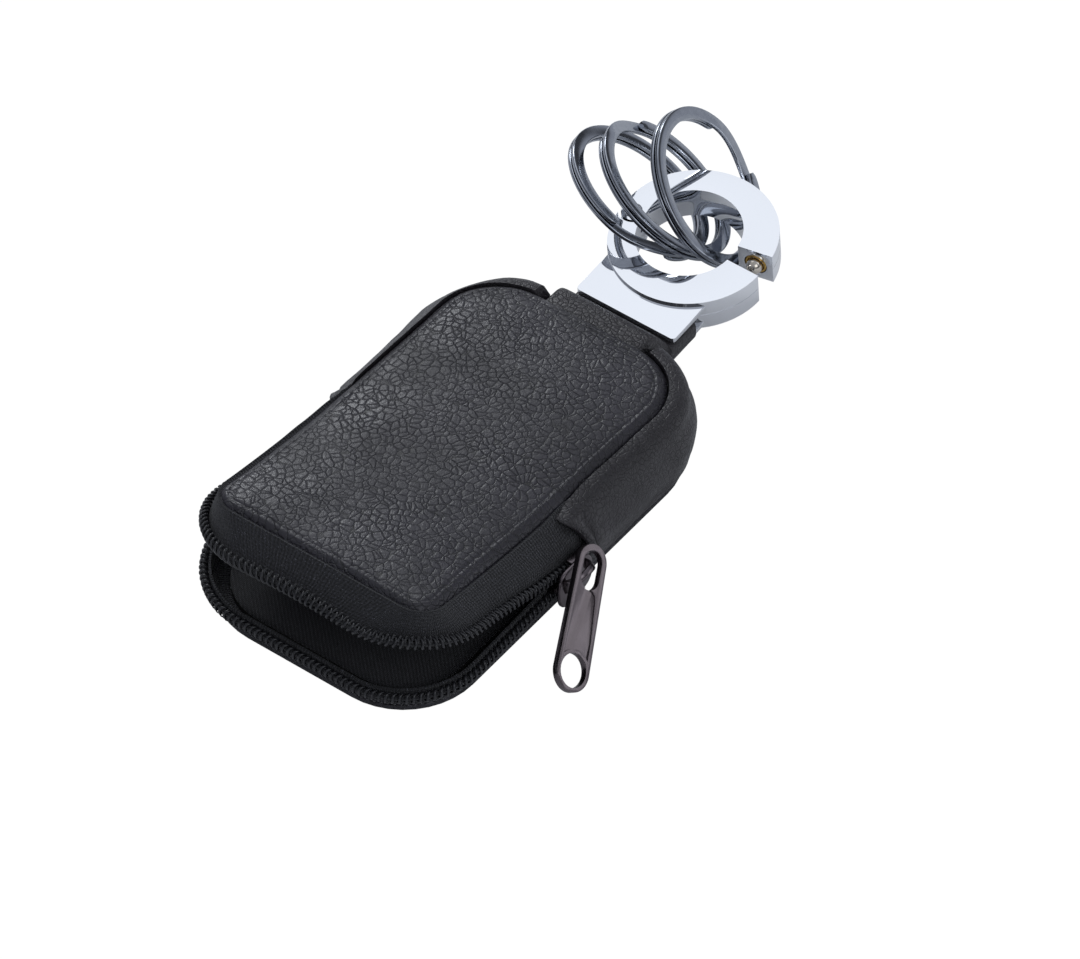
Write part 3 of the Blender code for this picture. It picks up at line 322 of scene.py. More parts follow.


# Linings and stiffeners. Black polyester twill is glued inside the front, the rear and the wall, over grey
# foam and a fibre board. The twill's slanting ribs lie about 0.7 mm apart, with painted shade between
# them, and give it a dull, cloudy black.
twill, twill_shader = new_material("black polyester twill")
place = add_node(twill, "TexCoord")
ribs = add_node(twill, "TexWave", {"bands_direction": "DIAGONAL"},
    {"Vector": place.outputs["Object"], "Scale": 640.0, "Distortion": 0.6, "Detail": 1.0})
weft = add_node(twill, "TexWave", {"bands_direction": "X"},
    {"Vector": place.outputs["Object"], "Scale": 900.0, "Distortion": 0.4})
crossing = add_node(twill, "Math", {"operation": "MULTIPLY"},
    {0: ribs.outputs["Fac"], 1: weft.outputs["Fac"]})
# Painted shade: the twill is darker where its ribs and weft lie low, the same pattern that drives its bump.
thread = add_node(twill, "Mix", {"data_type": "RGBA"},
    {0: crossing, 6: linear("#151517"), 7: linear("#34343a")})
relief = add_node(twill, "Bump", None, {"Height": crossing, "Strength": 0.5, "Distance": 0.0002})
feed(twill, twill_shader, {"Base Color": thread.outputs[2], "Normal": relief, "Roughness": 0.85,
                           "Sheen Weight": 0.25})


def grained(name, texture, settings, dark, light, roughness, relief=None, metallic=0.0):
    """A finish with one fine grain that carries its tone, and its gloss and height where they are given."""
    material, shader = new_material(name)
    place = add_node(material, "TexCoord")
    grain = add_node(material, texture, None, {"Vector": place.outputs["Object"], **settings})
    tone = add_node(material, "Mix", {"data_type": "RGBA"}, {0: grain, 6: linear(dark), 7: linear(light)})
    if isinstance(roughness, tuple):
        duller, brighter = roughness[1], roughness[0]
        roughness = add_node(material, "MapRange", None,
                             {"Value": grain, "To Min": brighter, "To Max": duller})
    if relief:
        strength, depth = relief
        bump = add_node(material, "Bump", None, {"Height": grain, "Strength": strength, "Distance": depth})
        feed(material, shader, {"Normal": bump})
    feed(material, shader, {"Base Color": tone.outputs[2], "Roughness": roughness, "Metallic": metallic})
    return material


# The foam's open cells show as a fine grey sponge with painted shade in each pore, and the board's
# pressed fibres as a matt dark felt.
# Painted shade: the foam's colour darkens where its bump dips into each pore.
foam = grained("grey polyurethane foam", "TexVoronoi", {"Scale": 1800.0}, "#3a3a3a", "#5e5e5e", 0.95,
               (0.6, 0.0003))
board = grained("black fibre board, pressed", "TexNoise", {"Scale": 900.0, "Detail": 6.0}, "#171615",
                "#2f2d2b", 0.9)
for node_name, finish in (("rear_board", board), ("front_foam", foam), ("flap_foam", foam)):
    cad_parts[node_name].data.materials.clear()
    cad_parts[node_name].data.materials.append(finish)


# The rear lining lies flat with the faint ripples of glued cloth.
rear_lining_low, rear_lining_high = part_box("rear_lining")


def ripple(point, size, depth):
    """Small smooth unevenness of soft goods at a point."""
    return depth * noise.noise(point / size)


cloth_half_width, cloth_mouth_y, cloth_closed_y, cloth_radius = 0.0260, -0.0465, 0.0425, 0.0135
rows = []
for inset, top in ((cloth_half_width, False), (0.010, False), (0.0, False), (0.0, True), (0.0012, True),
                   (0.0030, True), (0.0060, True), (0.010, True), (0.014, True), (0.018, True),
                   (0.022, True), (cloth_half_width, True)):
    ring = []
    for p in rounded_outline(cloth_half_width, cloth_mouth_y, cloth_closed_y, cloth_radius, cloth_radius,
                             inset):
        level = rear_lining_low.z
        if top:
            level = rear_lining_high.z + ripple(Vector((p.x, p.y, 0.0)), 0.006, 0.00012)
        ring.append(Vector((p.x, p.y, level)))
    rows.append(ring)
rear_cloth = skin("rear_lining_cloth", rows)
rear_cloth.data.materials.append(twill)
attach(rear_cloth, "pouch")
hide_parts("rear_lining")


# Side wall. One strip of the same hide is folded into a round shoulder, sewn to the rear panel's rim and
# closed over the front panel's edge. Its two ends are turned in over the zip tape.
wall_end_y, wall_thickness, wall_shoulder = 0.0004, 0.0013, 0.0146
front_half_width, front_mouth_y, front_closed_y = 0.0256, -0.0432, 0.0424
front_mouth_radius, front_closed_radius, front_height = 0.0055, 0.0135, 0.0200
front_fold_rise, front_mouth_rise, front_edge_drop, zip_axis_y = 0.0018, 0.0050, 0.0009, -0.0065


def front_edge_height(y):
    """Height of the front panel's edge along the pouch, as in the solids."""
    if y > zip_axis_y:
        return front_height + front_fold_rise * (front_closed_y - y) / (front_closed_y - zip_axis_y)
    share_along = (zip_axis_y - y) / (zip_axis_y - front_mouth_y)
    slope = front_fold_rise / (front_closed_y - zip_axis_y) * (zip_axis_y - front_mouth_y)
    rise = front_height + front_fold_rise + slope * share_along
    return rise + (front_mouth_rise - slope) * share_along ** 1.6


def on_circle(radius, angle, x=0.0, y=0.0):
    """Both coordinates of a point on a circle round a centre."""
    return x + radius * math.cos(angle), y + radius * math.sin(angle)


def u_path(half_width, start_y, far_y, radius):
    """Points with outward directions down one side, round an end and back up the other side."""
    leg, corner, span = 40, 26, 30
    sign = 1.0 if far_y > start_y else -1.0
    corner_y = far_y - sign * radius
    points = [(half_width, start_y + (corner_y - start_y) * i / leg, 1.0, 0.0) for i in range(leg)]
    for i in range(corner):
        angle = sign * math.pi / 2 * i / corner
        points.append((*on_circle(radius, angle, half_width - radius, corner_y), *on_circle(1.0, angle)))
    for i in range(span + 1):
        points.append(((half_width - radius) * (1.0 - 2.0 * i / span), far_y, 0.0, sign))
    return points + [(-x, y, -nx, ny) for x, y, nx, ny in reversed(points[:leg + corner])]


def ease(share_of_way):
    """Smooth step from 0 to 1."""
    share_of_way = min(max(share_of_way, 0.0), 1.0)
    return share_of_way * share_of_way * (3.0 - 2.0 * share_of_way)


def wall_path(half_width, far_y, radius):
    """The wall's line, with close rows at its two folded ends and each point's distance from them."""
    near = [0.0, 0.0002, 0.0005, 0.0010, 0.0014, 0.0017, 0.0020, 0.0024, 0.0030, 0.0038, 0.0048, 0.0062]
    leg = far_y - radius - wall_end_y
    near += [near[-1] + (leg - near[-1]) * k / 14 for k in range(1, 14)]
    points = [(half_width, wall_end_y + step, 1.0, 0.0, step) for step in near]
    for i in range(22):
        angle = math.pi / 2 * i / 22
        points.append((*on_circle(radius, angle, half_width - radius, far_y - radius),
                       *on_circle(1.0, angle), leg))
    middle = [((half_width - radius) * (1.0 - i / 26), far_y, 0.0, 1.0, leg) for i in range(27)]
    points += middle
    return points + [(-x, y, -nx, ny, step) for x, y, nx, ny, step in reversed(points[:-1])]


def bulge_at(share_up, corner):
    """How far the wall swells at a share of its rise: a low belly, and a waist at its corners."""
    belly = 0.0015 * math.exp(-((share_up - 0.40) / 0.24) ** 2)
    waist = -0.0009 * corner * math.exp(-((share_up - 0.66) / 0.07) ** 2)
    return belly + waist


def wall_rows(depth, thickness, flap):
    """Rows across the wall: its outer face from foot to rim, and back down its inner face."""
    rear = wall_path(rear_half_width, rear_closed_y, rear_radius)
    front = wall_path(front_half_width + 0.0003, front_closed_y + 0.0003, front_closed_radius + 0.0003)
    rows = []
    for (rx, ry, nx, ny, step), (fx, fy, _, _, _) in zip(rear, front):
        top = front_edge_height(min(fy, front_closed_y)) - front_edge_drop * 0.35
        foot = rear_thickness + 0.0003
        step_in = (fx - rx) * nx + (fy - ry) * ny
        corner = min(abs(ny) * 1.4, 1.0)
        beside = ease((abs(rx - 0.0004) - 0.0120) / 0.0022) if ny > 0.7 else 1.0
        end_share = ease((0.0050 - step) / 0.0050) * flap
        boxy = 0.15 + 0.85 * ease((nx + 1.0) / 0.8)
        profile = []
        for k in range(33):
            t = k / 32
            rise = foot + (wall_shoulder - foot) * min(t / 0.60, 1.0)
            out = 0.0010 * min(t / 0.10, 1.0) + bulge_at(t, corner)
            if t > 0.60:
                u = (t - 0.60) / 0.40
                angle = math.pi / 2 * u
                bow = 0.0008 * math.sin(math.pi * u) * boxy
                inward = u * (1.0 - boxy) + (1.0 - math.cos(angle)) ** 0.9 * boxy
                out = 0.0010 + bulge_at(t, corner) * (1.0 - u) + (step_in - 0.0010) * inward + bow
                rise = wall_shoulder + (top - wall_shoulder) * (u * (1.0 - boxy) + math.sin(angle) * boxy)
            limit = 0.0149 + (top - 0.0149) * beside
            if rise > limit:
                rise = limit - 0.00002 * (32 - k)
                out = out * beside + min(out, 0.0006) * (1.0 - beside)
            profile.append((out, rise))
        profile.append((profile[-1][0] - 0.0001, profile[-1][1] - 0.0003))
        outer, inner = [], []
        for k, (out, up) in enumerate(profile):
            before, after = profile[max(k - 1, 0)], profile[min(k + 1, len(profile) - 1)]
            along = Vector((after[0] - before[0], after[1] - before[1]))
            along = along.normalized() if along.length > 1e-7 else Vector((0.0, 1.0))
            slant = min(max((up - 0.0112) / 0.0090, 0.0), 1.0)
            lift = end_share * 0.0005 * ease((up - 0.0060) / 0.0050) * (1.0 - 0.6 * slant)
            fold = 0.0
            if flap:
                fold = 0.00035 * math.exp(-((step - 0.0010) / 0.0006) ** 2) \
                    - 0.00055 * math.exp(-((step - 0.0021) / 0.00035) ** 2)
            lead = 0.0046 * slant ** 1.5 * end_share
            tuck = 0.0007 * end_share * ease((k - 26) / 7)
            point = Vector((rx + nx * (out + lift + fold), ry + ny * (out + lift + fold) - lead * (1.0 - ny),
                            up - tuck))
            side = Vector((-nx * along.y, -ny * along.y, along.x))
            if k == len(profile) - 1:
                side = Vector((0.0, 0.0, -1.0))
            thin = 1.0
            if step < 0.0011:
                thin = 0.30 + 0.70 * math.sqrt(max(1.0 - (1.0 - step / 0.0011) ** 2, 0.0))
            dent = ripple(point, 0.010, 0.00030) + ripple(point, 0.0035, 0.00010) if depth == 0.0 else 0.0
            middle = depth + thickness / 2
            thin *= 1.0 - 0.30 * end_share
            outer.append(point + side * (middle - thickness / 2 * thin - dent))
            inner.append(point + side * (middle + thickness / 2 * thin))
        outer[0].z = inner[0].z = foot
        rows.append(outer + inner[::-1])
    return rows


side_skin = skin("side_wall_skin", wall_rows(0.0, wall_thickness, 1.0))
sharpen(side_skin, 50.0)
side_skin.data.materials.append(wall_leather)
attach(side_skin, "pouch")
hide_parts("side_wall")
wall_cloth = skin("wall_lining_cloth", wall_rows(wall_thickness + 0.0003, 0.0004, 0.0))
sharpen(wall_cloth, 50.0)
wall_cloth.data.materials.append(twill)
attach(wall_cloth, "pouch")
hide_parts("wall_lining")


# Front panel. One piece of hide is drawn over a thin foam pad, so that it crowns, and its edge is turned
# under. A shallow line is pressed round it 2.4 mm inside the edge. The real panel bends at the slider when
# the mouth closes; here it is one fixed piece.
front_crown, front_thickness, mouth_sag, mouth_spread = 0.0019, 0.0014, 0.0012, 0.0009


def half_width_at(y, half_width, mouth_y, closed_y, mouth_radius, closed_radius):
    """Half width of a rounded panel at one place along it."""
    if y < mouth_y + mouth_radius:
        beyond = mouth_y + mouth_radius - y
        return half_width - mouth_radius + math.sqrt(max(mouth_radius ** 2 - beyond ** 2, 0.0))
    if y > closed_y - closed_radius:
        beyond = y - closed_y + closed_radius
        return half_width - closed_radius + math.sqrt(max(closed_radius ** 2 - beyond ** 2, 0.0))
    return half_width


def front_surface(x, y):
    """Height of the crowned front at a point, before its edge is turned."""
    width = max(half_width_at(y, front_half_width, front_mouth_y, front_closed_y, front_mouth_radius,
                              front_closed_radius), 0.001)
    across = min(abs(x) / width, 1.0)
    ends = min(abs(y - (front_mouth_y + front_closed_y) / 2) / ((front_closed_y - front_mouth_y) / 2), 1.0)
    return front_edge_height(y) + front_crown * (1.0 - across ** 3) * (1.0 - ends ** 6)


insets = [0.0, 0.00006, 0.0002, 0.00045, 0.0008, 0.0012, 0.0017, 0.0020, 0.00225, 0.0024, 0.00255, 0.0028,
          0.0032, 0.0036, 0.0042, 0.0052, 0.007, 0.009, 0.0115, 0.014, 0.017, 0.020, 0.023, front_half_width]


def front_outline(inset):
    """Points round the front panel at an inset, each with its share of the mouth's sag."""
    outline = rounded_outline(front_half_width, front_mouth_y, front_closed_y, front_mouth_radius,
                              front_closed_radius, inset)
    return [(p, ease((-0.026 - p.y) / 0.014)) for p in outline]


def sagged(p, sag, level):
    """A point of the front at its height, spread outwards where the mouth sags."""
    return Vector((p.x * (1.0 + mouth_spread * sag / front_half_width), p.y - mouth_spread * sag, level))


rows = []
for inset in reversed(insets):
    turned = min(inset / 0.0032, 1.0)
    roll = (front_edge_drop + 0.0006) * (1.0 - math.sqrt(max(1.0 - (1.0 - turned) ** 2, 0.0)))
    pressed = 0.00014 * math.exp(-((inset - 0.0024) / 0.00022) ** 2)
    swell = 0.00016 * math.exp(-((inset - 0.0018) / 0.0006) ** 2)
    ring = []
    for p, sag in front_outline(inset):
        roll_here = roll * (1.0 + mouth_sag * sag / front_edge_drop)
        level = front_surface(p.x, p.y) - roll_here - pressed + swell
        soft = min(inset / 0.003, 1.0)
        near_mouth = max(1.0 - (p.y - front_mouth_y) / 0.012, 0.0)
        level += 0.00022 * near_mouth * soft * math.sin(p.x / 0.0011 + 2.0 * noise.noise(p.to_3d() / 0.004))
        level += ripple(Vector((p.x, p.y, 0.3)), 0.013, 0.00028) * soft
        level += ripple(Vector((p.x, p.y, 0.9)), 0.0045, 0.00008)
        ring.append(sagged(p, sag, level))
    rows.append(ring)
for inset, drop in ((0.0, front_thickness + 0.0001), (0.0001, front_thickness + 0.00035),
                    (0.0004, front_thickness + 0.0005), (0.002, front_thickness + 0.0001),
                    (0.003, front_thickness), (0.010, front_thickness), (front_half_width, front_thickness)):
    ring = []
    for p, sag in front_outline(inset):
        level = front_surface(p.x, p.y) - drop - mouth_sag * sag * max(1.0 - inset / 0.003, 0.0)
        ring.append(sagged(p, sag, level))
    rows.append(ring)
front_cover = skin("front_cover", rows)
sharpen(front_cover, 60.0)
front_leather = pebble_leather.copy()
front_leather.name = "black pebble leather, creased and shiny at the turned edge"
front_shader = front_leather.node_tree.nodes["Principled BSDF"]
grain_bump = front_shader.inputs["Normal"].links[0].from_node
grain_gloss = front_shader.inputs["Roughness"].links[0].from_node
place = add_node(front_leather, "TexCoord")
split = add_node(front_leather, "SeparateXYZ", None, {0: place.outputs["Object"]})
edge_share = add_node(front_leather, "MapRange", {"interpolation_type": "SMOOTHSTEP"},
    {"Value": split.outputs["Y"], "From Min": -0.0418, "From Max": -0.0436})
crumple = add_node(front_leather, "TexNoise", None,
    {"Vector": place.outputs["Object"], "Scale": 1100.0, "Detail": 3.0, "Distortion": 1.0})
crumple_height = add_node(front_leather, "Math", {"operation": "MULTIPLY"},
    {0: crumple.outputs["Fac"], 1: edge_share})
crumple_bump = add_node(front_leather, "Bump", None,
    {"Height": crumple_height, "Strength": 0.9, "Distance": 0.0004, "Normal": grain_bump})
edge_gloss = add_node(front_leather, "Mix", {"data_type": "FLOAT"},
    {0: edge_share, 2: grain_gloss, 3: 0.20})
feed(front_leather, front_shader, {"Normal": crumple_bump, "Roughness": edge_gloss})
front_cover.data.materials.append(front_leather)
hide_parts("front_panel", "front_flap")
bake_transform(front_cover)

rows = []
lining_drop = front_thickness + 0.0010 + 0.0006
hem, cloth_thick = 0.002, 0.0005
lining_rows = [(front_half_width - hem, 0.0), (0.014, 0.0), (0.006, 0.0), (0.0, 0.0)]
lining_rows += [(inset, cloth_thick) for inset in (0.0, 0.001, 0.003, 0.006, 0.010, 0.014, 0.018,
                                                   front_half_width - hem)]
for inset, drop in lining_rows:
    ring = []
    for p in rounded_outline(front_half_width - hem, front_mouth_y + hem, front_closed_y - hem, 0.0045,
                             front_closed_radius - hem, inset):
        level = front_surface(p.x, p.y) - lining_drop - drop
        if drop:
            level -= abs(ripple(Vector((p.x, p.y, 0.5)), 0.007, 0.00015))
        ring.append(Vector((p.x, p.y, level)))
    rows.append(ring)
front_cloth = skin("front_lining_cloth", rows)
sharpen(front_cloth, 60.0)
front_cloth.data.materials.append(twill)
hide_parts("front_lining", "flap_lining")
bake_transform(front_cloth)


# Zip tapes. Two bands of woven polyester, sewn into the seams of the front and the rear, run round the
# mouth. Their warp threads lie lengthwise, about 0.75 mm apart; the low threads are darkened with painted
# shade, and grey flecks are painted highlights where loose fibre ends catch the light.
zip_half_width, zip_mouth_y, zip_radius = 0.0300, -0.0500, 0.0165
zip_line, lower_mouth_height, upper_mouth_height = 0.0092, 0.0070, 0.0195
tape_thickness, tape_foot, slider_width, touch_gap = 0.0006, 0.0019, 0.0094, 0.0003


def lip_frames(upper):
    """Foot, knee, edge and the two directions of one lip at each place along it, as in the solids."""
    start = wall_end_y - touch_gap
    outer = u_path(zip_half_width, start, zip_mouth_y, zip_radius)
    if upper:
        step = touch_gap + tape_thickness
        inner = u_path(front_half_width + step, start, front_mouth_y - step, front_mouth_radius + step)
    else:
        inner = u_path(rear_half_width, start, rear_mouth_y, rear_radius)
    frames = []
    for (ix, iy, _, _), (ox, oy, nx, ny) in zip(inner, outer):
        fall = max((zip_axis_y - oy) / (zip_axis_y - zip_mouth_y), 0.0 if upper else -1.0)
        if upper:
            foot = Vector((ix, iy, front_edge_height(iy) - front_edge_drop))
            edge = Vector((ox, oy, zip_line + 0.00025 + (upper_mouth_height - zip_line) * fall))
            upright = Vector((ox, oy, edge.z + slider_width / 2 + touch_gap))
            knee = foot.lerp(edge, 0.5).lerp(upright, ease((oy + 0.0280) / 0.0150))
        else:
            foot = Vector((ix, iy, tape_foot))
            edge = Vector((ox, oy, zip_line - 0.00025 + (lower_mouth_height - zip_line) * fall))
            knee = Vector((ox, oy, tape_foot + (Vector((ox, oy)) - Vector((ix, iy))).length))
        along = (edge - knee).normalized()
        out = Vector((nx, ny, 0.0))
        face = (out - along * out.dot(along)).normalized()
        frames.append((foot, edge, along, face, knee))
    return frames


def tape_piece(name, frames, upper):
    """Band of tape, from the part glued under the panel out to the coil, with its lengths as UV."""
    rows, uv_rows, length = [], [], 0.0
    before = None
    for foot, edge, along, face, knee in frames:
        if upper:
            near_end = ease((0.0070 - abs(edge.y - frames[0][1].y)) / 0.0060)
            tuck = Vector((face.x, face.y, 0.0)).normalized() * (0.0006 * near_end)
            foot, knee = foot - tuck, knee - tuck
        if before is not None:
            length += (edge - before).length
        before = edge
        out = Vector((face.x, face.y, 0.0)).normalized()
        under, far_in, near_in = (0.0006, 0.0026, 0.0009) if upper else (0.00043, 0.0028, 0.0006)
        path = [foot - out * reach_in - Vector((0.0, 0.0, under)) for reach_in in (far_in, near_in)]
        path += [foot.lerp(knee, t / 5) for t in range(5)]
        path += [knee.lerp(edge, t / 7) for t in range(8)]
        outer, inner, uvs, across = [], [], [], 0.0
        for k, point in enumerate(path):
            step = path[min(k + 1, len(path) - 1)] - path[max(k - 1, 0)]
            a, b = step.dot(out), step.z
            size = math.hypot(a, b)
            normal = (out * b - Vector((0.0, 0.0, a))) / size
            if upper:
                normal = -normal
            across += (point - path[k - 1]).length if k else 0.0
            swell = ripple(point, 0.0045, 0.00012)
            trim = 0.0001 if k in (0, len(path) - 1) else 0.0
            outer.append(point + normal * (swell * (0.0 if k < 3 else 1.0) - trim))
            inner.append(point - normal * (tape_thickness - trim))
            uvs.append((length, across))
        rows.append(outer + inner[::-1])
        uv_rows.append(uvs + uvs[::-1])
    piece = skin(name, rows, uv_rows)
    sharpen(piece, 70.0)
    return piece


weave, weave_shader = new_material("black woven polyester tape")
cloth_map = add_node(weave, "UVMap", {"uv_map": "along_and_across"})
warp = add_node(weave, "TexWave", {"bands_direction": "Y"},
    {"Vector": cloth_map, "Scale": 420.0, "Distortion": 3.5, "Detail": 2.0})
weft = add_node(weave, "TexWave", {"bands_direction": "X"},
    {"Vector": cloth_map, "Scale": 520.0, "Distortion": 4.5, "Detail": 2.0})
fuzz = add_node(weave, "TexNoise", None,
    {"Vector": cloth_map, "Scale": 2100.0, "Detail": 4.0, "Roughness": 0.75})
knit = add_node(weave, "Math", {"operation": "MULTIPLY_ADD"},
    {0: warp.outputs["Fac"], 1: 0.7, 2: weft.outputs["Fac"]})
cloth_height = add_node(weave, "Math", {"operation": "MULTIPLY_ADD"},
    {0: fuzz.outputs["Fac"], 1: 2.2, 2: knit})
# Painted shade: the weave is darker where its threads lie low, following the bump's height.
shade_share = add_node(weave, "MapRange", None, {"Value": cloth_height, "From Min": 1.2, "From Max": 2.9})
cloth_colour = add_node(weave, "Mix", {"data_type": "RGBA"},
    {0: shade_share, 6: linear("#050506"), 7: linear("#29292f")})
# Painted highlights: light grey flecks where loose black fibre ends would catch the light.
fibre_ends = add_node(weave, "TexVoronoi", None, {"Vector": cloth_map, "Scale": 2600.0})
fibre_highlight_share = add_node(weave, "MapRange", None,
    {"Value": fibre_ends.outputs["Distance"], "From Min": 0.24, "From Max": 0.06})
highlight_flecked = add_node(weave, "Mix", {"data_type": "RGBA"},
    {0: fibre_highlight_share, 6: cloth_colour.outputs[2], 7: linear("#6c6c76")})
cloth_relief = add_node(weave, "Bump", None, {"Height": cloth_height, "Strength": 0.8, "Distance": 0.00022})
feed(weave, weave_shader, {"Base Color": highlight_flecked.outputs[2], "Normal": cloth_relief, "Roughness": 0.82,
                           "Sheen Weight": 0.12, "Sheen Roughness": 0.5})

lower_frames, upper_frames = lip_frames(False), lip_frames(True)
lower_tape = tape_piece("lower_tape", lower_frames, False)
upper_tape = tape_piece("upper_tape", upper_frames, True)
for piece in (lower_tape, upper_tape):
    piece.data.materials.append(weave)
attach(lower_tape, "pouch")
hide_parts("lower_zip_tape")
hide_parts("upper_zip_tape")
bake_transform(upper_tape)


# Zip coils. Each is one black nylon thread, wound into flat hairpin loops round a cord and sewn on the
# tape's outer face. A turn comes every 1.3 mm, and the thread is 0.6 mm thick.
# Drawn nylon is a dense black, and it shines in fine spots along each loop.
nylon = grained("black nylon monofilament, drawn", "TexNoise", {"Scale": 900.0, "Detail": 2.0}, "#121214",
                "#26262b", (0.22, 0.42))
feed(nylon, nylon.node_tree.nodes["Principled BSDF"], {"IOR": 1.53})

thread_radius, coil_pitch, coil_width, coil_thickness = 0.0003, 0.0013, 0.0026, 0.0020


def wound_path(frames, turn_points):
    """Points of the coil's thread and of its middle line, with the lip's directions at each."""
    line = [edge + face * (coil_thickness / 2 - 0.0001) - along * (coil_width / 2)
            for _, edge, along, face, _ in frames]
    lengths = [0.0]
    for a, b in zip(line, line[1:]):
        lengths.append(lengths[-1] + (b - a).length)
    turns = round(lengths[-1] / coil_pitch)
    points, station = [], 0
    for i in range(turns * turn_points + 1):
        distance = lengths[-1] * i / (turns * turn_points)
        while station < len(line) - 2 and lengths[station + 1] < distance:
            station += 1
        t = (distance - lengths[station]) / (lengths[station + 1] - lengths[station])
        along = frames[station][2].lerp(frames[station + 1][2], t).normalized()
        face = frames[station][3].lerp(frames[station + 1][3], t).normalized()
        middle = line[station].lerp(line[station + 1], t)
        forward = (line[station + 1] - line[station]).normalized()
        angle = math.tau * i / turn_points
        reach, rise = coil_width / 2 - thread_radius, coil_thickness / 2 - thread_radius
        lean = forward * (coil_pitch * 0.10 * math.sin(2 * angle))
        points.append((middle + along * (reach * math.cos(angle)) + face * (rise * math.sin(angle)) + lean,
                       middle, along, face, forward))
    return points


def swept_wire(name, points, radius, sides):
    """Round wire through points."""
    rows = []
    for i, point in enumerate(points):
        forward = (points[min(i + 1, len(points) - 1)] - points[max(i - 1, 0)]).normalized()
        across = forward.orthogonal() if i == 0 else across - forward * across.dot(forward)
        across = across.normalized()
        up = forward.cross(across)
        rows.append([point + across * (radius * math.cos(math.tau * k / sides))
                     + up * (radius * math.sin(math.tau * k / sides)) for k in range(sides)])
    return skin(name, rows)


lower_coil = swept_wire("lower_coil_thread", [p[0] for p in wound_path(lower_frames, 14)], thread_radius, 6)
upper_coil = swept_wire("upper_coil_thread", [p[0] for p in wound_path(upper_frames, 14)], thread_radius, 6)
lower_cord = swept_wire("lower_coil_cord", [p[1] for p in wound_path(lower_frames, 2)], 0.00042, 8)
upper_cord = swept_wire("upper_coil_cord", [p[1] for p in wound_path(upper_frames, 2)], 0.00042, 8)
for piece in (lower_coil, upper_coil):
    piece.data.materials.append(nylon)
for piece in (lower_cord, upper_cord):
    piece.data.materials.append(twill)
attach(lower_coil, "pouch")
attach(lower_cord, "pouch")
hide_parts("lower_coil")
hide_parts("upper_coil")
for piece in (upper_coil, upper_cord):
    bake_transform(piece)


def zip_stitches(name, frames):
    """Short stitches that hold each turn of the coil on the tape."""
    mesh = bmesh.new()
    for _, middle, along, face, forward in wound_path(frames, 1):
        low = middle - along * (coil_width * 0.34) + face * (coil_thickness * 0.28)
        ends = (low - along * 0.00075 - face * 0.00045, low - along * 0.0002,
                low + along * 0.0003 + face * 0.00012)
        rows = []
        for end in ends:
            rows.append([mesh.verts.new(end + forward * (0.00020 * math.cos(math.tau * k / 5))
                                        + face * (0.00016 * math.sin(math.tau * k / 5))) for k in range(5)])
        for a, b in zip(rows, rows[1:]):
            for k in range(5):
                mesh.faces.new((a[k], a[(k + 1) % 5], b[(k + 1) % 5], b[k]))
        mesh.faces.new(rows[0][::-1])
        mesh.faces.new(rows[-1])
    bmesh.ops.recalc_face_normals(mesh, faces=mesh.faces)
    piece = as_object(name, mesh)
    piece.data.materials.append(twill)
    return piece


lower_stitches = zip_stitches("lower_zip_stitches", lower_frames)
upper_stitches = zip_stitches("upper_zip_stitches", upper_frames)
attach(lower_stitches, "pouch")
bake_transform(upper_stitches)


# Zip slider. It is die-cast zinc with a dark plating: two plates joined by a post between the lips, rims
# that hold the coils, and a bridge over the outer plate for the pull. The plating is a warm dark grey mirror,
# a little cloudy.
plating, plating_shader = new_material("dark nickel plating on die-cast zinc")
place = add_node(plating, "TexCoord")
cloud = add_node(plating, "TexNoise", None,
    {"Vector": place.outputs["Object"], "Scale": 260.0, "Detail": 4.0})
pits = add_node(plating, "TexNoise", None,
    {"Vector": place.outputs["Object"], "Scale": 2600.0, "Detail": 2.0})
plate_colour = add_node(plating, "Mix", {"data_type": "RGBA"},
    {0: cloud.outputs["Fac"], 6: linear("#5d5659"), 7: linear("#787074")})
plate_gloss = add_node(plating, "MapRange", None,
    {"Value": cloud.outputs["Fac"], "To Min": 0.20, "To Max": 0.30})
plate_relief = add_node(plating, "Bump", None,
    {"Height": pits.outputs["Fac"], "Strength": 0.12, "Distance": 0.00005})
feed(plating, plating_shader, {"Base Color": plate_colour.outputs[2], "Roughness": plate_gloss,
                               "Normal": plate_relief, "Metallic": 1.0})

zip_slope = math.atan2(zip_line - lower_mouth_height, zip_axis_y - zip_mouth_y)
slider_centre = Vector((zip_half_width + (touch_gap + coil_thickness - tape_thickness) / 2, zip_axis_y,
                        zip_line))
slider_place = Matrix.Translation(slider_centre) @ Matrix.Rotation(zip_slope, 4, "X")
channel = (coil_thickness + tape_thickness + touch_gap) / 2 + touch_gap
slider_plate, slider_half = 0.0009, 0.00525


def settle(piece, place, width, segments):
    """Round a metal piece's edges and put its place into its mesh."""
    select_only(piece)
    if width:
        rounding = piece.modifiers.new("round_edges", "BEVEL")
        rounding.width = width
        rounding.segments = segments
        rounding.limit_method = "ANGLE"
        rounding.angle_limit = math.radians(32.0)
        rounding.miter_outer = "MITER_ARC"
        bpy.ops.object.modifier_apply(modifier="round_edges")
    piece.data.transform(place)
    sharpen(piece, 38.0)


def joined(name, pieces):
    """One object from several."""
    select_only(pieces[0])
    for piece in pieces[1:]:
        piece.select_set(True)
    bpy.ops.object.join()
    pieces[0].name = name
    return pieces[0]


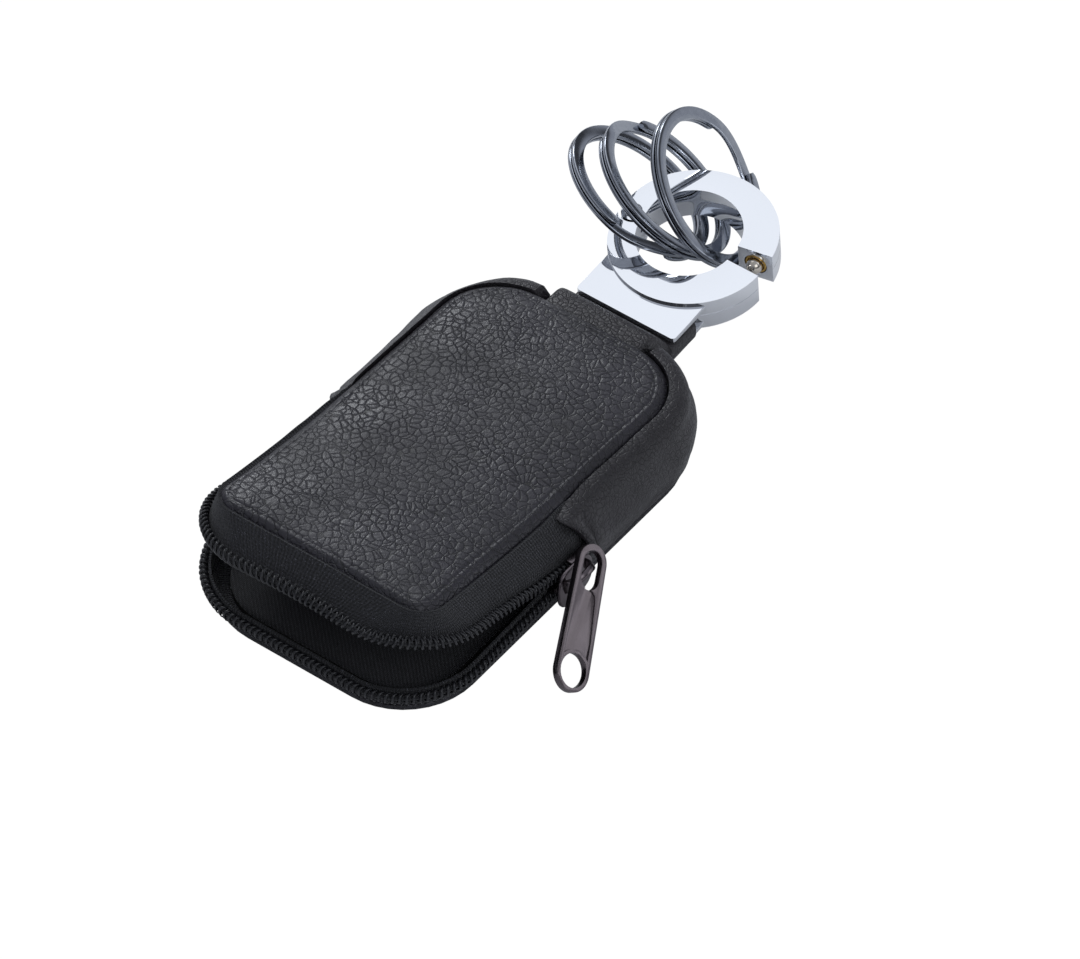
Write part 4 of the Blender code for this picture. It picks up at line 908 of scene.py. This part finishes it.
plate_outline = []
for i in range(40):
    angle = math.tau * i / 40
    c, s = math.cos(angle), math.sin(angle)
    y = slider_half * (abs(c) ** 0.55) * (1 if c >= 0 else -1)
    z = (slider_width / 2) * (abs(s) ** 0.75) * (1 if s >= 0 else -1) * (1.0 - 0.10 * c)
    plate_outline.append((y, z))
slider_pieces = []
for low, high in ((channel, channel + slider_plate), (-channel - slider_plate, -channel)):
    plate = skin("slider_plate", [[Vector((x, y, z)) for y, z in plate_outline] for x in (low, high)])
    settle(plate, slider_place, 0.00028, 3)
    slider_pieces.append(plate)
post_tip, bite = -0.00305, 0.0004
post_plan = ((-slider_half, -0.00025), (post_tip, -0.0001), (post_tip, 0.0001), (-slider_half, 0.00025))
post = skin("slider_post", [[Vector((x, y, z + 0.0008)) for y, z in post_plan]
                            for x in (-channel - bite, channel + bite)])
settle(post, slider_place, 0.0, 0)
slider_pieces.append(post)
for side in (-1.0, 1.0):
    rim_plan = ((0.0003, side * 0.0031), (0.0049, side * 0.0031), (0.0049, side * 0.0039),
                (0.0003, side * 0.0039))
    rim = skin("slider_rim", [[Vector((x, y, z)) for y, z in rim_plan]
                              for x in (channel - 0.0017, channel + bite)])
    settle(rim, slider_place, 0.0001, 2)
    slider_pieces.append(rim)
lean = math.radians(45.0)
bridge_out = Vector((math.cos(lean), 0.0, math.sin(lean)))
bridge_side = Vector((-math.sin(lean), 0.0, math.cos(lean)))
bridge_foot = Vector((channel + slider_plate / 2, 0.0, 0.0010))
bridge_height, bridge_length = 0.0038 + slider_plate / 2, 0.0078
bridge_thickness, bridge_width = 0.0008, 0.0030
arch = []
for i in range(33):
    angle = math.pi * i / 32
    arch.append(Vector((bridge_height * math.sin(angle) ** 0.7,
                        (bridge_thickness - bridge_length) / 2 * math.cos(angle))))
rows = []
for i in range(33):
    step = (arch[min(i + 1, 32)] - arch[max(i - 1, 0)]).normalized()
    across = (bridge_out * -step.y + Vector((0.0, step.x, 0.0))) * (bridge_thickness / 2)
    middle = bridge_foot + bridge_out * arch[i].x + Vector((0.0, arch[i].y, 0.0))
    wide = bridge_side * (bridge_width / 2 * (1.0 - 0.5 * math.sin(math.pi * i / 32)))
    ring = [middle + wide * math.cos(math.tau * k / 16) + across * math.sin(math.tau * k / 16)
            for k in range(16)]
    if i in (0, 32):
        ring = [point + bridge_out * ((bridge_foot.x - point.x) / bridge_out.x) for point in ring]
    rows.append(ring)
bridge = skin("slider_bridge", rows)
bridge.data.transform(slider_place)
slider_pieces.append(bridge)
slider = joined("slider", slider_pieces)
slider.data.materials.append(plating)
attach(slider, "slider")
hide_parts("slider_body")


# Pull tab. It is stamped from the same dark-plated metal, with a long eye for the bridge, a sunk face with
# a rim round it, and a round finger hole.
pull_length, eye_radius, eye_hole, eye_slot = 0.0292, 0.0036, 0.0024, 0.0030
end_radius, end_hole, pull_thickness = 0.0042, 0.00335, 0.0013
pull_run = pull_length - eye_radius - end_radius
shoulder = slider_place @ (bridge_foot + bridge_out * arch[24].x + Vector((0.0, arch[24].y, 0.0)))
pull_place = (Matrix.Translation(shoulder) @ Matrix.Rotation(math.radians(25.6), 4, "Z")
              @ Matrix.Rotation(math.radians(27.3), 4, "X") @ Matrix.Rotation(math.radians(50.0), 4, "Y")
              @ Matrix.Translation(Vector((-0.00118, 0.00005, 0.00087))))


def arc_points(radius, centre_y, start, stop, steps):
    """Points on part of a circle in the tab's plane."""
    return [on_circle(radius, math.radians(start + (stop - start) * i / steps), 0.0, centre_y)
            for i in range(steps + 1)]


def slab(name, outline, low, high):
    """Flat piece between two heights."""
    return skin(name, [[Vector((x, y, z)) for x, y in outline] for z in (low, high)])


def cut(piece, cutter, operation="DIFFERENCE"):
    """Cut or join with another piece, which is used up."""
    select_only(piece)
    step = piece.modifiers.new("cut", "BOOLEAN")
    step.object = cutter
    step.operation = operation
    step.solver = "EXACT"
    bpy.ops.object.modifier_apply(modifier="cut")
    bpy.data.objects.remove(cutter)


tab = slab("pull", arc_points(eye_radius, 0.0, 0, 180, 30) + arc_points(end_radius, -pull_run, 180, 360, 30),
           -pull_thickness / 2, pull_thickness / 2)
eye = arc_points(eye_hole, 0.0, 0, 180, 20) + arc_points(eye_hole, -eye_slot, 180, 360, 20)
cut(tab, slab("eye_cutter", eye, -0.002, 0.002))
cut(tab, slab("hole_cutter", arc_points(end_hole, -pull_run, 0, 348.75, 31), -0.002, 0.002))
face_half, face_low = 0.0031, -pull_run + 0.0062
sunk = (arc_points(0.00245, -eye_slot - 0.0046, 20, 160, 12) + [(-face_half, face_low)]
        + arc_points(0.0041, -pull_run, 140, 40, 12) + [(face_half, face_low)])
for side in (-1.0, 1.0):
    face_cut = slab("face_cutter", sunk, pull_thickness / 2 - 0.00028, 0.002)
    if side < 0:
        face_cut.data.transform(Matrix.Scale(-1.0, 4, Vector((0.0, 0.0, 1.0))))
        face_cut.data.flip_normals()
    cut(tab, face_cut)
settle(tab, pull_place, 0.00016, 3)
tab.data.materials.append(plating)
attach(tab, "pull")
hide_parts("pull_tab")


# Strap. A doubled band of the same hide, sewn under the front panel's edge, bends down and ends clamped
# between the clasp's two plates. Its cut edges are painted black.
pitch = math.radians(5.4)
clasp_place = Matrix.Translation(Vector((0.0004, 0.0534, 0.0128))) @ Matrix.Rotation(pitch, 4, "X")
plate_top, plate_bottom, strap_thickness, strap_half_width = 0.0011, 0.0010, 0.0030, 0.0117
ring_centre_y, ring_outer, ring_proud, ring_thickness = 0.0219, 0.01645, 0.0011, 0.0075
strap_low = -plate_top - touch_gap - strap_thickness / 2
entry = clasp_place @ Vector((0.0, 0.0, strap_low))
strap_end = clasp_place @ Vector((0.0, 0.0048, strap_low))
slope, bend = math.radians(55.0), 0.0026
root_z = front_height - front_thickness - touch_gap - strap_thickness / 2
fall = root_z - entry.z - bend * (1.0 - math.cos(slope)) - bend * (math.cos(pitch) - math.cos(slope))
straight = fall / math.sin(slope)
start_y = entry.y - bend * (2 * math.sin(slope) + math.sin(pitch)) - straight * math.cos(slope)
middle_line = [(front_closed_y - 0.0017 + (start_y - front_closed_y + 0.0017) * k / 4, root_z, 0.0)
               for k in range(4)]
for i in range(11):
    angle = slope * i / 10
    middle_line.append((start_y + bend * math.sin(angle), root_z - bend * (1.0 - math.cos(angle)), -angle))
for i in range(11):
    angle = -slope + (slope + pitch) * i / 10
    middle_line.append((entry.y - bend * (math.sin(pitch) - math.sin(angle)),
                        entry.z + bend * (math.cos(pitch) - math.cos(angle)), angle))
middle_line.append((strap_end.y, strap_end.z, pitch))
wrap_end = strap_end + clasp_place.to_3x3() @ Vector((0.0, 0.0020, 0.0))
middle_line.append((wrap_end.y, wrap_end.z, pitch))
rows = []
for index, (y, z, turned) in enumerate(middle_line):
    up = Vector((0.0, -math.sin(turned), math.cos(turned)))
    wrapped = ease((index - 17) / 5)
    half_wide = strap_half_width + 0.00055 * wrapped
    lower = strap_thickness / 2 * 0.97 + 0.00145 * wrapped
    ring = []
    for share_across, lift in (
            (-1.0, 0.0), (-0.995, 0.6), (-0.975, 0.93), (-0.92, 1.0), (-0.6, 1.02), (0.0, 1.03), (0.6, 1.02),
            (0.92, 1.0), (0.975, 0.93), (0.995, 0.6), (1.0, 0.0), (0.995, -0.6), (0.975, -0.93),
            (0.92, -1.0), (0.0, -1.0), (-0.92, -1.0), (-0.975, -0.93), (-0.995, -0.6)):
        reach_up = lift * (strap_thickness / 2 * 0.97 if lift > 0 else lower)
        place = Vector((0.0004 + share_across * half_wide, y, z)) + up * reach_up
        ring.append(place + up * ripple(place, 0.006, 0.00012))
    rows.append(ring)
strap_skin = skin("strap_skin", rows)
sharpen(strap_skin, 60.0)
strap_skin.data.materials.append(wall_leather)
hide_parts("strap")
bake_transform(strap_skin)


# Clasp body. Die-cast zinc, ground and chrome plated: a plate that holds the strap, and half a ring, which
# stands 1.1 mm proud of it. Its left end is cut to half height for the gate's joint. The chrome mirrors the
# room sharply, with a breath of haze and fine scratches.
chrome, chrome_shader = new_material("bright chrome plating, polished")
place = add_node(chrome, "TexCoord")
haze = add_node(chrome, "TexNoise", None,
    {"Vector": place.outputs["Object"], "Scale": 120.0, "Detail": 4.0})
chrome_gloss = add_node(chrome, "MapRange", None,
    {"Value": haze.outputs["Fac"], "To Min": 0.02, "To Max": 0.07})
scratch_map = add_node(chrome, "Mapping", None,
    {"Vector": place.outputs["Object"], "Rotation": (0.0, 0.0, 0.6), "Scale": (1.0, 12.0, 1.0)})
scratches = add_node(chrome, "TexNoise", None, {"Vector": scratch_map, "Scale": 700.0, "Detail": 2.0})
scratch_relief = add_node(chrome, "Bump", None,
    {"Height": scratches.outputs["Fac"], "Strength": 0.02, "Distance": 0.00002})
feed(chrome, chrome_shader, {"Base Color": linear("#e6e8ec"), "Roughness": chrome_gloss,
                             "Normal": scratch_relief, "Metallic": 1.0})

ring_inner, shift_x, shift_y, ring_bevel = 0.01020, -0.0012, 0.0004, 0.00022
ring_low, ring_high = ring_proud - ring_thickness, ring_proud
ring_middle = (ring_low + ring_high) / 2


def inner_radius(angle):
    """Distance from the ring's centre to its off-centre hole's wall."""
    along = math.cos(angle) * shift_x + math.sin(angle) * shift_y
    return along + math.sqrt(along ** 2 - shift_x ** 2 - shift_y ** 2 + ring_inner ** 2)


def half_ring(name, start, stop):
    """Half of the clasp's ring as a plain band."""
    rows = []
    for i in range(73):
        angle = math.radians(start + (stop - start) * i / 72)
        rows.append([Vector((*on_circle(r, angle, 0.0, ring_centre_y), z))
                     for r, z in ((inner_radius(angle), ring_low), (ring_outer, ring_low),
                                  (ring_outer, ring_high), (inner_radius(angle), ring_high))])
    return skin(name, rows)


def disc(name, radius, low, high, x, y, steps=64):
    """Round slab."""
    return slab(name, [on_circle(radius, math.tau * i / steps, x, y) for i in range(steps)], low, high)


pin_x = -(inner_radius(math.pi) + ring_outer) / 2
lug_radius = (ring_outer - inner_radius(math.pi)) / 2
fixed_half = half_ring("clasp", 180.0, 360.0)
swing_room = lug_radius + touch_gap + 0.00025
cut(fixed_half, disc("room", swing_room, ring_middle - touch_gap / 2, ring_high + 0.002, pin_x,
                     ring_centre_y))
cut(fixed_half, disc("lug", lug_radius, ring_low, ring_middle - touch_gap / 2, pin_x, ring_centre_y),
    "UNION")
plate_half_width = 0.0119
reach = ring_outer - 0.0003 - touch_gap
spread = math.asin(plate_half_width / reach)
corner = 0.0007
plate_plan = [(-plate_half_width + corner, 0.0), (plate_half_width - corner, 0.0),
              (plate_half_width - corner * 0.3, corner * 0.3), (plate_half_width, corner)]
plate_plan += [on_circle(reach, -math.pi / 2 + spread * (1.0 - 2.0 * i / 40), 0.0, ring_centre_y)
               for i in range(41)]
plate_plan += [(-plate_half_width, corner), (-plate_half_width + corner * 0.3, corner * 0.3)]
slot_bottom = -plate_top - strap_thickness - 2 * touch_gap
cut(fixed_half, slab("top_plate", plate_plan, -plate_top, 0.0), "UNION")
cut(fixed_half, slab("bottom_plate", [(x * 0.97, y) for x, y in plate_plan], slot_bottom - plate_bottom,
                     slot_bottom), "UNION")
end_reach = (inner_radius(0.0) + ring_outer) / 2
stud_place = Matrix.Translation(Vector((end_reach, ring_centre_y, ring_middle))) @ Matrix.Rotation(
    math.radians(90.0), 4, "X")
socket = disc("socket", 0.0022, -0.002, 0.0030, 0.0, 0.0, 40)
socket.data.transform(stud_place)
cut(fixed_half, socket)
settle(fixed_half, clasp_place, ring_bevel, 3)
groove_floor, groove_low, groove_high = ring_outer - 0.00007, ring_middle - 0.00005, ring_middle + 0.00005


def parting_groove(place, start, stop):
    """Thin band that cuts the fine line left by the two halves of the die."""
    rows = []
    for i in range(73):
        angle = math.radians(start + (stop - start) * i / 72)
        rows.append([place @ Vector((*on_circle(r, angle, 0.0, ring_centre_y), z))
                     for r, z in ((groove_floor, groove_low), (ring_outer + 0.001, groove_low),
                                  (ring_outer + 0.001, groove_high), (groove_floor, groove_high))])
    return skin("groove", rows)


cut(fixed_half, parting_groove(clasp_place, 190.0, 359.0))
sharpen(fixed_half, 38.0)
fixed_half.data.materials.append(chrome)
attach(fixed_half, "clasp")
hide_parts("clasp_body")


# Gate. The other half of the ring, cast and plated the same way, with a half-height lug over the body's lug.
# It stands open by 9.6 degrees.
gate_turn = (Matrix.Translation(Vector((pin_x, ring_centre_y, 0.0)))
             @ Matrix.Rotation(math.radians(9.6), 4, "Z")
             @ Matrix.Translation(Vector((-pin_x, -ring_centre_y, 0.0))))
gate_half = half_ring("gate_ring", math.degrees(0.0003 / end_reach), 180.0)
cut(gate_half, disc("room", swing_room, ring_low - 0.002, ring_middle + touch_gap / 2, pin_x, ring_centre_y))
cut(gate_half, disc("lug", lug_radius, ring_middle + touch_gap / 2, ring_high, pin_x, ring_centre_y),
    "UNION")
seat = disc("seat", 0.00245, -0.0015, 0.002, 0.0, 0.0, 48)
seat.data.transform(stud_place)
cut(gate_half, seat)
settle(gate_half, clasp_place @ gate_turn, ring_bevel, 3)
cut(gate_half, parting_groove(clasp_place @ gate_turn, 2.0, 170.0))
sharpen(gate_half, 38.0)
gate_half.data.materials.append(chrome)
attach(gate_half, "gate")
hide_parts("gate")


# Gate pin, ball stud and collar. The pin is a riveted steel rod. The stud is a nickelled ball on a neck,
# set in a brass collar in the gate's end, and it snaps into the body's socket.
def spun(name, profile, steps):
    """Turned piece from a half profile of radius and height, closed on its axis."""
    on_axis = 0.00001
    return skin(name, [[Vector((*on_circle(max(r, on_axis), math.tau * k / steps), z)) for k in range(steps)]
                       for r, z in profile])


pin_shank, pin_foot, pin_brim = 0.0011, ring_low + 0.0003, ring_high + 0.00015
pin_dome = [(1.8 * math.cos(math.radians(a)) / 1000, pin_brim + 0.0006 * math.sin(math.radians(a)))
            for a in range(0, 90, 10)]
pin_profile = [(0.0, pin_foot), (pin_shank, pin_foot), (pin_shank, pin_brim)] + pin_dome
pin_piece = spun("pin_head", pin_profile + [(0.0, ring_high + 0.00075)], 40)
settle(pin_piece, clasp_place @ Matrix.Translation(Vector((pin_x, ring_centre_y, 0.0))), 0.0, 0)
pin_piece.data.materials.append(chrome)
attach(pin_piece, "clasp")
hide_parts("gate_pin")

# The nickel is warm and bright with cloudy wear, and the brass is yellow and satin from the lathe.
nickel = grained("nickel plating, worn bright", "TexNoise", {"Scale": 900.0, "Detail": 3.0}, "#bdb3a4",
                 "#e0dad0", 0.14, metallic=1.0)
brass = grained("brass, turned", "TexNoise", {"Scale": 1200.0}, "#a87f3e", "#d9b56a", 0.25, metallic=1.0)

end_place = clasp_place @ gate_turn @ stud_place @ Matrix.Translation(Vector((0.0, 0.0, -0.0003)))
ball = [(0.0017 * math.sin(math.radians(a)), 0.0005 + 0.0017 * math.cos(math.radians(a)))
        for a in range(148, -1, -8)]
stud = spun("stud_ball", [(0.0, -0.0013), (0.0009, -0.0013)] + ball, 40)
settle(stud, end_place, 0.0, 0)
stud.data.materials.append(nickel)
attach(stud, "gate")
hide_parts("ball_stud")
collar_bore, collar_outer, collar_depth, collar_chamfer = 0.00178, 0.0023, -0.0011, -0.0001
collar_section = ((collar_bore, collar_depth), (collar_outer, collar_depth), (collar_outer, collar_chamfer),
                  (0.00222, 0.0), (0.00186, 0.0), (collar_bore, collar_chamfer))
collar = skin("collar", [[Vector((*on_circle(r, math.tau * k / 48), z)) for r, z in collar_section]
                         for k in range(48)], lengthwise_closed=True)
settle(collar, end_place, 0.0, 0)
collar.data.materials.append(brass)
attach(collar, "gate")
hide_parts("stud_collar")

for node_name in ("strap_rivet_left", "strap_rivet_right"):
    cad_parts[node_name].data.materials.clear()
    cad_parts[node_name].data.materials.append(chrome)


# Split rings. Each is a flat nickelled spring wire wound almost twice round, so that the turns lie on each
# other. A short step carries the wire from the lower turn to the upper one. The nickel is a cool, darker
# mirror than the clasp's chrome, with faint marks of drawing and tumbling.
spring_steel = grained("spring steel, nickelled and tumbled", "TexNoise",
                       {"Scale": 700.0, "Detail": 5.0, "Roughness": 0.65}, "#8d929b", "#b4b8c0",
                       (0.05, 0.16), (0.02, 0.00004), 1.0)

split_radius, wire_width, wire_thickness = 0.0154, 0.0026, 0.0009
turn_gap, ramp_share = 0.0003, math.radians(24.0)
edge_section = []
for side_x, side_z in ((-1, -1), (1, -1), (1, 1), (-1, 1)):
    for k in range(4):
        angle = math.atan2(side_z, side_x) - math.radians(45) + math.radians(90) * k / 3
        rounding = 0.00025
        edge_section.append((side_x * (wire_width / 2 - rounding) + rounding * math.cos(angle),
                             side_z * (wire_thickness / 2 - rounding) + rounding * math.sin(angle)))
for node_name, body, places in (
        ("split_ring_1", "ring_right", (23.5, 38.0, (-0.00397, 0.08668, 0.01885), -35.5)),
        ("split_ring_2", "ring_middle", (41.0, 49.0, (-0.01115, 0.08237, 0.01755), 20.0)),
        ("split_ring_3", "ring_left", (44.5, 54.0, (-0.01533, 0.07927, 0.01645), 148.0))):
    azimuth_deg, elevation_deg, centre, end_deg = places
    az, el = math.radians(azimuth_deg), math.radians(elevation_deg)
    normal = Vector((math.cos(el) * math.cos(az), math.cos(el) * math.sin(az), math.sin(el)))
    first = Vector((-math.sin(az), math.cos(az), 0.0))
    second = normal.cross(first)
    total = 2 * math.tau - 2 * ramp_share
    rows = []
    for i in range(241):
        sweep = ramp_share + total * i / 240
        lift = (wire_thickness + turn_gap) * (ease((sweep - math.tau + ramp_share) / (2 * ramp_share)) - 0.5)
        angle = math.radians(end_deg) + ramp_share + sweep
        out = first * math.cos(angle) + second * math.sin(angle)
        near_end = min(i, 240 - i) / 3
        squeeze = 1.0 if near_end >= 1 else 0.55 + 0.45 * math.sqrt(1.0 - (1.0 - near_end) ** 2)
        rows.append([Vector(centre) + out * (split_radius + a * squeeze) + normal * (lift + b)
                     for a, b in edge_section])
    ring = skin(node_name.replace("split_ring", "key_ring"), rows)
    sharpen(ring, 50.0)
    ring.data.materials.append(spring_steel)
    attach(ring, body)
    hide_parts(node_name)

low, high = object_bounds()
